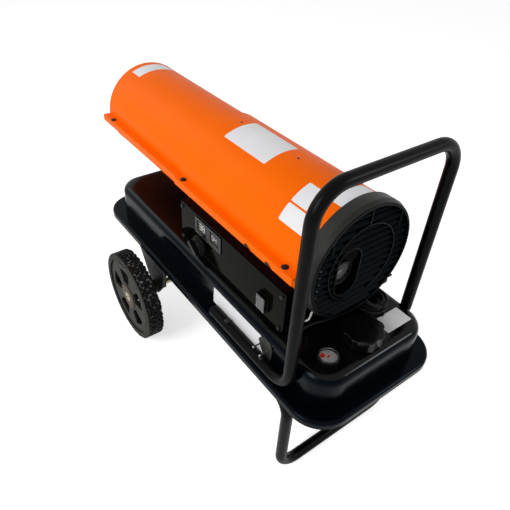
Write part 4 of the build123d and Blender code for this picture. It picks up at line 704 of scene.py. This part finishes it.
SCREW_HEAD = 3.2
FLANGE_SCREW_XS = (-435.0, -70.0, 290.0)
FLANGE_SCREW_Y = 129.0
GUARD_SCREW_X = 332.0
GUARD_RADIUS = 129.0
GUARD_SCREW_TURNS = (35.0, 145.0, 215.0, 325.0)
PANEL_SCREWS = [(x, z) for x in (-68.5, 296.5) for z in (365.0, 448.5)]


def make_screw_crosses():
    """Dark bars of painted shade for the crossed slots on the heads of the flange, guard and panel screws."""
    bm = bmesh.new()
    places = [((x, side * FLANGE_SCREW_Y, AXIS_Z + 1.2 + SCREW_HEAD), (0, 0, 1)) for x in FLANGE_SCREW_XS
              for side in (-1, 1)]
    for turn in GUARD_SCREW_TURNS:
        out = Vector((0, math.cos(math.radians(turn)), math.sin(math.radians(turn))))
        places.append((Vector((GUARD_SCREW_X, 0, AXIS_Z)) + out * (GUARD_RADIUS + SCREW_HEAD), out))
    places += [((x, side * (-PANEL_Y + SCREW_HEAD), z), (0, side, 0)) for x, z in PANEL_SCREWS
               for side in (-1, 1)]
    for i, (centre, out) in enumerate(places):
        upward = (0, 1, 0) if abs(out[2]) > 0.9 else (0, 0, 1)
        place = axes_at(centre, out, upward)
        for turn in (20 + 37 * i, 110 + 37 * i):
            bar(bm, place, (0, 0), (4.4, 0.9), 0.08, turn, -0.02)
    finished(bm, "screw_crosses", "recess_painted_shade")


# Dials

FUEL_GAUGE = (400.0, -94.0, 353.0)
FUEL_RIM_Z = 359.0
PRESSURE_GAUGE = (338.5, -36.0, 497.0)


def make_fuel_dial():
    """Dial of the fuel gauge with zones, ticks and rim."""
    place = axes_at(FUEL_GAUGE, (0, 0, 1), (0, 1, 0))
    bm = bmesh.new()
    plate(bm, place, ring_outline(17.7), -0.02, 0.1)
    finished(bm, "fuel_dial", "gauge_dial")
    bm = bmesh.new()
    for low, high in ((-62.0, -8.0), (8.0, 62.0), (118.0, 172.0)):
        outline = ring_outline(15.6, 12, low, high) + list(reversed(ring_outline(9.0, 12, low, high)))
        plate(bm, place, outline, 0.08, 0.16)
    finished(bm, "fuel_dial_zones", "dial_grey")
    bm = bmesh.new()
    outline = ring_outline(15.6, 12, 188.0, 242.0) + list(reversed(ring_outline(7.0, 12, 188.0, 242.0)))
    plate(bm, place, outline, 0.08, 0.18)
    finished(bm, "fuel_dial_reserve", "needle_red")
    bm = bmesh.new()
    for k in range(9):
        turn = math.radians(-45 + 270 * k / 8)
        bar(bm, place, (16.3 * math.cos(turn), 16.3 * math.sin(turn)), (2.2, 0.6), 0.2, math.degrees(turn))
    finished(bm, "fuel_dial_ticks", "gauge_black")
    bm = bmesh.new()
    rim = axes_at((FUEL_GAUGE[0], FUEL_GAUGE[1], FUEL_RIM_Z), (0, 0, 1), (0, 1, 0))
    lathe(bm, rim, [(18.2, -0.3), (19.6, -0.3), (19.6, 0.1), (18.9, 0.4), (18.2, 0.1)], 56)
    finished(bm, "fuel_gauge_rim", "strap_grey")


def make_pressure_dial():
    """Dial of the pressure gauge with ticks and a red band."""
    place = axes_at(PRESSURE_GAUGE, (1, 0, 0))
    bm = bmesh.new()
    plate(bm, place, ring_outline(20.6), -0.02, 0.1)
    finished(bm, "pressure_dial", "dial_smoke")
    bm = bmesh.new()
    for k in range(28):
        turn = math.radians(-45 + 270 * k / 27)
        long = 3.4 if k % 3 == 0 else 2.0
        reach = 19.6 - long / 2
        bar(bm, place, (reach * math.cos(turn), reach * math.sin(turn)), (long, 0.45), 0.16,
            math.degrees(turn))
    finished(bm, "pressure_dial_ticks", "gauge_black")
    bm = bmesh.new()
    outline = ring_outline(14.2, 14, 200.0, 250.0) + list(reversed(ring_outline(12.8, 14, 200.0, 250.0)))
    plate(bm, place, outline, 0.08, 0.16)
    finished(bm, "pressure_dial_band", "needle_red")


# Cap crown, gland ribs, tie on the coil and plug ridges

CAP_AT = (397.0, -2.0)
CAP_TOP_Z = 378.0
CAP_ARROWS = 6
CAP_ARROW_RADIUS = 14.9
CAP_GROOVES = 72
CAP_GROOVE_RADIUS = 38.0


def make_cap_details():
    """Raised ring, short bars round it and fine ridges at the cap's edge."""
    bm = bmesh.new()
    place = axes_at((CAP_AT[0], CAP_AT[1], CAP_TOP_Z), (0, 0, 1), (0, 1, 0))
    lathe(bm, place, [(12.4, -0.05), (13.4, -0.05), (13.2, 0.7), (12.6, 0.7)], 48)
    for count, radius, size, height in ((CAP_ARROWS, CAP_ARROW_RADIUS, (2.6, 1.2), 0.6),
                                        (CAP_GROOVES, CAP_GROOVE_RADIUS, (1.6, 0.7), 0.35)):
        for k in range(count):
            turn = 360 * k / count
            a = math.radians(turn)
            bar(bm, place, (radius * math.cos(a), radius * math.sin(a)), size, height, turn, -0.05)
    finished(bm, "cap_ridges", "plastic_black", "cap")


GLAND_NOSE = ((321.0, -108.0, 360.0), (321.0, -89.0, 360.0))
GLAND_NOSE_RADII = (7.3, 4.9)
GLAND_RIBS = 6
PLUG_START_Y = 85.0
PLUG_AXIS = (322.6, 397.2)


def make_cord_details():
    """Ribs of the gland's bend relief and of the plug's neck."""
    bm = bmesh.new()
    start, end = (Vector(p) for p in GLAND_NOSE)
    for i in range(GLAND_RIBS):
        share = i / (GLAND_RIBS - 1)
        radius = GLAND_NOSE_RADII[0] * (1 - share) + GLAND_NOSE_RADII[1] * share
        place = axes_at(start.lerp(end, share), (0, 1, 0))
        lathe(bm, place,
              [(radius - 0.9, -1.0), (radius + 0.35, -0.7), (radius + 0.35, 0.7), (radius - 0.9, 1.0)], 28)
    finished(bm, "gland_ribs", "plastic_black")
    bm = bmesh.new()
    for i in range(4):
        radius = 4.3 + 0.62 * i
        place = axes_at((PLUG_AXIS[0], PLUG_START_Y + 2.0 + 3.2 * i, PLUG_AXIS[1]), (0, 1, 0))
        lathe(bm, place,
              [(radius - 1.0, -0.9), (radius + 0.5, -0.6), (radius + 0.5, 0.6), (radius - 1.0, 0.9)], 28)
    finished(bm, "plug_ribs", "plastic_black")


TIE_Y = 78.0
TIE_LOW = (353.5, 350.4)
TIE_HIGH = (383.2, 381.2)


def make_coil_tie():
    """Flat strap round the turns on the coil's +X side, with its small head on top."""
    x0, z0 = TIE_LOW
    x1, z1 = TIE_HIGH
    corner = 4.0
    middle = ((x0 + x1) / 2, (z0 + z1) / 2)
    outline = [(middle[0] + x, middle[1] + z) for x, z in rounded_outline(x1 - x0, z1 - z0, corner, 6)]
    bm = bmesh.new()
    rings = []
    for x, z in outline:
        away = Vector((x - middle[0], 0, z - middle[1])).normalized()
        rings.append([bm.verts.new((Vector((x, TIE_Y + dy, z)) + away * lift) * MM)
                      for dy, lift in ((-1.8, 0), (1.8, 0), (1.8, 0.9), (-1.8, 0.9))])
    for i, near in enumerate(rings):
        far = rings[(i + 1) % len(rings)]
        for k in range(4):
            bm.faces.new([near[k], near[(k + 1) % 4], far[(k + 1) % 4], far[k]])
    finished(bm, "coil_tie", "plastic_black")


# Wheels: knobbed tyres with a light tread band of painted highlight, a dark disc of painted shade behind the
# rim windows and lock washers on the axle ends

WHEEL_X = -190.4
WHEEL_Z = 125.0
TYRE_RADIUS = 124.9
TREAD_BASE_RADIUS = 120.4
TYRE_BORE = 107.2
TYRE_INNER_Y = 206.6
TYRE_OUTER_Y = 249.6
TYRE_SHOULDER = 3.4
TYRE_SMOOTH_ANGLE = 25.0
SIDE_RADIUS = 124.0
LUG_ROWS = 5
LUG_COLUMNS = 46
LUG_LENGTH = 14.0
LUG_WIDTH = 7.5
LUG_JITTER = 1.7
LUG_TOP_SHARE = 0.88
RIM_WINDOW_SHADE = (21.0, 98.0, 226.0, 227.2)
LOCK_WASHER = (4.0, 14.2, 249.0, 249.6)
LOCK_WASHER_RING = 4.5
LOCK_WASHER_TABS = 8
LOCK_WASHER_TAB_SHARE = 0.66


def wheel_place(side):
    """Axes at a wheel's centre with local Z pointing outward on its side."""
    return axes_at((WHEEL_X, 0, WHEEL_Z), (0, side, 0))


def lug(bm, place, turn, middle_y, lean, size, chance):
    """One knob of the tread with uneven corners, turned in the tread's surface."""
    c, s = math.cos(math.radians(lean)), math.sin(math.radians(lean))
    corners = []
    for sx, sy in ((-1, -1), (0, -1.1), (1, -1), (1, 1), (0, 1.1), (-1, 1)):
        x = sx * LUG_LENGTH / 2 * size + chance.uniform(-LUG_JITTER, LUG_JITTER)
        y = sy * LUG_WIDTH / 2 * size + chance.uniform(-LUG_JITTER, LUG_JITTER) / 2
        corners.append((x * c - y * s, x * s + y * c))
    rings = []
    for radius, share in ((TREAD_BASE_RADIUS - 0.3, 1.0), (TYRE_RADIUS, LUG_TOP_SHARE)):
        ring = []
        for along, across in corners:
            height = max(TYRE_INNER_Y + 0.4, min(TYRE_OUTER_Y - 0.4, middle_y + across * share))
            a = math.radians(turn) + along * share / TREAD_BASE_RADIUS
            ring.append(bm.verts.new(place @ Vector((radius * math.cos(a), radius * math.sin(a), height))))
        rings.append(ring)
    bm.faces.new(rings[1])
    bm.faces.new(list(reversed(rings[0])))
    for k in range(6):
        bm.faces.new([rings[0][k], rings[0][(k + 1) % 6], rings[1][(k + 1) % 6], rings[1][k]])


def make_tyre(side, word):
    """Tyre with its light tread band of painted highlight and its knobs, which replaces the CAD tyre."""
    chance = random.Random(7 + side)
    place = wheel_place(side)
    body = "wheel_" + word
    y0, y1, cut = TYRE_INNER_Y, TYRE_OUTER_Y, TYRE_SHOULDER
    base = TREAD_BASE_RADIUS
    bm = bmesh.new()
    lathe(bm, place, [(TYRE_BORE, y0), (base - cut, y0), (base, y0 + cut), (base, y1 - cut),
                      (SIDE_RADIUS, y1 - 2.0), (SIDE_RADIUS, y1 - 0.8), (SIDE_RADIUS - 1.0, y1),
                      (TYRE_BORE, y1)], 120)
    tyre = finished(bm, "tyre_body_" + word, "tyre", body, TYRE_SMOOTH_ANGLE)
    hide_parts("tyre_" + word)
    bm = bmesh.new()
    lathe(bm, place, [(base - 0.2, y0 + cut), (base + 0.3, y0 + cut), (base + 0.3, y1 - cut),
                      (base - 0.2, y1 - cut)], 120)
    finished(bm, "tread_band_" + word, "tread_painted_highlight", body, TYRE_SMOOTH_ANGLE)
    bm = bmesh.new()
    pitch = (y1 - y0) / LUG_ROWS
    for row in range(LUG_ROWS):
        for column in range(LUG_COLUMNS):
            turn = 360 * (column + 0.5 * (row % 2)) / LUG_COLUMNS + chance.uniform(-0.8, 0.8)
            middle = y0 + pitch * (row + 0.5) + chance.uniform(-0.7, 0.7)
            lug(bm, place, turn, middle, chance.uniform(-16, 16), chance.uniform(0.82, 1.04), chance)
    finished(bm, "tread_knobs_" + word, "tread_dark", body, TYRE_SMOOTH_ANGLE)


def make_rim_window_shade(side, name, body):
    """Dark disc of painted shade behind the rim's windows."""
    bm = bmesh.new()
    inner, outer, low, high = RIM_WINDOW_SHADE
    lathe(bm, wheel_place(side), [(inner, low), (outer, low), (outer, high), (inner, high)], 64)
    finished(bm, name, "painted_shade_dark", body)


def make_lock_washers():
    """Toothed washers on the outer faces of the hub plates."""
    bm = bmesh.new()
    inner, outer, low, high = LOCK_WASHER
    ring = inner + LOCK_WASHER_RING
    step = 360 / LOCK_WASHER_TABS
    for side in (-1, 1):
        place = wheel_place(side)
        lathe(bm, place, [(inner, low), (ring, low), (ring, high), (inner, high)], 40)
        for k in range(LOCK_WASHER_TABS):
            profile = [(ring - 0.1, low), (outer, low), (outer, high), (ring - 0.1, high)]
            lathe(bm, place, profile, 4, k * step, (k + LOCK_WASHER_TAB_SHARE) * step)
    finished(bm, "axle_lock_washers", "washer_zinc")


SCREW_WASHER = (3.9, 7.6)
SCREW_WASHER_HEIGHT = 1.1
SCREW_COLLAR = (5.7, 3.0)


def make_screw_washers():
    """Washer and hexagon collar of each flange screw."""
    bm = bmesh.new()
    inner, outer = SCREW_WASHER
    for x in FLANGE_SCREW_XS:
        for side in (-1, 1):
            place = axes_at((x, side * FLANGE_SCREW_Y, AXIS_Z + 1.2), (0, 0, 1), (0, 1, 0))
            lathe(bm, place, [(inner, -0.05), (outer, -0.05), (outer - 0.4, SCREW_WASHER_HEIGHT * 0.6),
                              (inner, SCREW_WASHER_HEIGHT)], 28)
            corner, height = SCREW_COLLAR
            lathe(bm, place, [(inner, 0), (corner, 0), (corner, height - 0.4), (corner - 0.5, height),
                              (inner, height)], 6)
    finished(bm, "screw_washers", "black_screw")


LIP_CLIPS = (187.0, 253.0)
LIP_CLIP_AT = (-141.2, 503.5)
LIP_CLIP_SIZE = (9.0, 5.0)
STRAP_OUTLINE = ((262.0, 316.0), (270.0, 329.0), (284.0, 335.0), (299.0, 333.0), (307.0, 318.0),
                 (307.0, 296.0), (300.0, 279.0), (289.0, 270.0), (283.0, 286.0), (272.0, 297.0))
STRAP_Y = -153.6
STRAP_Z = 306.0
STUDS = ((271.0, 310.0), (293.0, 305.0))
STUD_TIP_Y = -175.0
STUD_RADIUS = 1.7


def make_lip_clips():
    """Two small clips on the casing's lip."""
    bm = bmesh.new()
    for x in LIP_CLIPS:
        place = axes_at((x, LIP_CLIP_AT[0], LIP_CLIP_AT[1]), (0, -1, 0))
        plate(bm, place, rounded_outline(*LIP_CLIP_SIZE, 1.0), -1.2, 1.3)
        plate(bm, place, rounded_outline(LIP_CLIP_SIZE[0] * 0.6, LIP_CLIP_SIZE[1] * 0.5, 0.8), 1.2, 2.0)
    finished(bm, "lip_clips", "black_screw")


def make_side_strap():
    """Strap on the tank's panel side with two studs that point outward."""
    bm = bmesh.new()
    draft = math.radians(TANK_DRAFT)
    place = axes_at((0, STRAP_Y, STRAP_Z), (0, -math.cos(draft), math.sin(draft)))
    plate(bm, place, [(x, z - STRAP_Z) for x, z in STRAP_OUTLINE], -1.0, 0.9)
    finished(bm, "side_strap", "strap_grey", bevel=0.4)
    bm = bmesh.new()
    tips = bmesh.new()
    for x, z in STUDS:
        stud = axes_at((x, STRAP_Y, z), (0, -1, 0))
        length = STRAP_Y - STUD_TIP_Y
        lathe(bm, stud, [(0, -0.5), (4.0, -0.5), (4.0, 1.6), (STUD_RADIUS, 2.2), (STUD_RADIUS, length - 3),
                         (0, length - 3)], 20)
        lathe(tips, stud, [(0, length - 3.1), (STUD_RADIUS + 0.5, length - 3.1),
                           (STUD_RADIUS + 0.5, length - 0.6), (STUD_RADIUS - 0.4, length), (0, length)], 16)
    finished(bm, "strap_studs", "stud_grey")
    finished(tips, "strap_stud_tips", "zinc")


make_casing_details()
make_tank_stickers()
make_digits()
make_display_line()
make_knob()
make_rocker_marks()
make_screw_crosses()
make_fuel_dial()
make_pressure_dial()
make_cap_details()
make_cord_details()
make_coil_tie()
for side, word in ((-1, "right"), (1, "left")):
    make_tyre(side, word)
    make_rim_window_shade(side, "rim_window_shade_" + word, "wheel_" + word)
make_lock_washers()
make_screw_washers()
make_lip_clips()
make_side_strap()


# Floor, light and camera

WORLD_LIGHT = 0.36
FLOOR_GLOW = 0.62
FLOOR_REACH = 6
LAMP_TARGET = (0.0, 0.0, 0.35)
LAMPS = {
    "key": ((0.3, -2.3, 1.9), 1.4, 41.0),
    "fill": ((-2.2, -1.2, 1.8), 1.8, 12.0),
    "edge": ((2.0, 1.6, 1.6), 0.7, 14.0),
}
CAMERA_AT = (0.7996, -0.6103, 1.0987)
CAMERA_AZIMUTH = 51.156
CAMERA_ELEVATION = 38.713
CAMERA_ROLL = 0.065
CAMERA_LENS = 35.756
CAMERA_SENSOR = 36.0


def seen_rays(tree):
    """One for camera, glossy and transmission rays."""
    rays = tree.nodes.new("ShaderNodeLightPath")
    value = rays.outputs["Is Camera Ray"]
    for name in ("Is Glossy Ray", "Is Transmission Ray"):
        larger = tree.nodes.new("ShaderNodeMath")
        larger.operation = "MAXIMUM"
        tree.links.new(value, larger.inputs[0])
        tree.links.new(rays.outputs[name], larger.inputs[1])
        value = larger.outputs[0]
    return value


def by_rays(tree, otherwise, seen, socket):
    """Set a strength for seen rays and another one for the rest."""
    strength = tree.nodes.new("ShaderNodeMapRange")
    strength.inputs["To Min"].default_value = otherwise
    strength.inputs["To Max"].default_value = seen
    tree.links.new(seen_rays(tree), strength.inputs["Value"])
    tree.links.new(strength.outputs["Result"], socket)


def make_floor():
    """White floor that glows for the camera only."""
    mesh = bpy.data.meshes.new("floor")
    reach = FLOOR_REACH
    mesh.from_pydata([(-reach, -reach, 0), (reach, -reach, 0), (reach, reach, 0), (-reach, reach, 0)], [],
                     [(0, 1, 2, 3)])
    floor = bpy.data.objects.new("floor", mesh)
    bpy.context.scene.collection.objects.link(floor)
    n = Nodes("floor")
    n.set(Base_Color=(0.9, 0.9, 0.9, 1.0), Roughness=0.9, Specular_IOR_Level=0.0,
          Emission_Color=(1.0, 1.0, 1.0, 1.0))
    by_rays(n.tree, 0.0, FLOOR_GLOW, n.shader.inputs["Emission Strength"])
    mesh.materials.append(n.material)


def make_world():
    """White sky that is dimmer as a light than it looks."""
    world = bpy.data.worlds.new("studio")
    bpy.context.scene.world = world
    world.use_nodes = True
    background = world.node_tree.nodes["Background"]
    background.inputs["Color"].default_value = (1.0, 1.0, 1.0, 1.0)
    by_rays(world.node_tree, WORLD_LIGHT, 1.0, background.inputs["Strength"])


def make_lamp(name, at, size, power):
    """Round area lamp aimed at the heater."""
    light = bpy.data.lights.new(name, "AREA")
    light.shape = "DISK"
    light.size = size
    light.energy = power
    lamp = bpy.data.objects.new(name, light)
    bpy.context.scene.collection.objects.link(lamp)
    lamp.location = at
    lamp.rotation_mode = "QUATERNION"
    lamp.rotation_quaternion = (Vector(LAMP_TARGET) - Vector(at)).to_track_quat("-Z", "Y")


def make_camera():
    """Camera of the photograph."""
    azimuth = math.radians(CAMERA_AZIMUTH)
    elevation = math.radians(CAMERA_ELEVATION)
    roll = CAMERA_ROLL
    back = Vector((math.sin(azimuth) * math.cos(elevation), -math.cos(azimuth) * math.cos(elevation),
                   math.sin(elevation)))
    right = Vector((math.cos(azimuth), math.sin(azimuth), 0.0))
    up = back.cross(right)
    across = right * math.cos(roll) + up * math.sin(roll)
    upward = up * math.cos(roll) - right * math.sin(roll)
    data = bpy.data.cameras.new("camera")
    data.sensor_width = CAMERA_SENSOR
    data.lens = CAMERA_LENS
    data.clip_start = 0.05
    data.clip_end = 50.0
    camera = bpy.data.objects.new("camera", data)
    bpy.context.scene.collection.objects.link(camera)
    turn = Matrix((across, upward, back)).transposed()
    camera.matrix_world = Matrix.Translation(CAMERA_AT) @ turn.to_4x4()
    bpy.context.scene.camera = camera


make_floor()
make_world()
for name, (at, size, power) in LAMPS.items():
    make_lamp(name, at, size, power)
make_camera()

for view_layer in bpy.context.scene.view_layers:
    view_layer.update()
bpy.context.scene.view_settings.view_transform = "Standard"
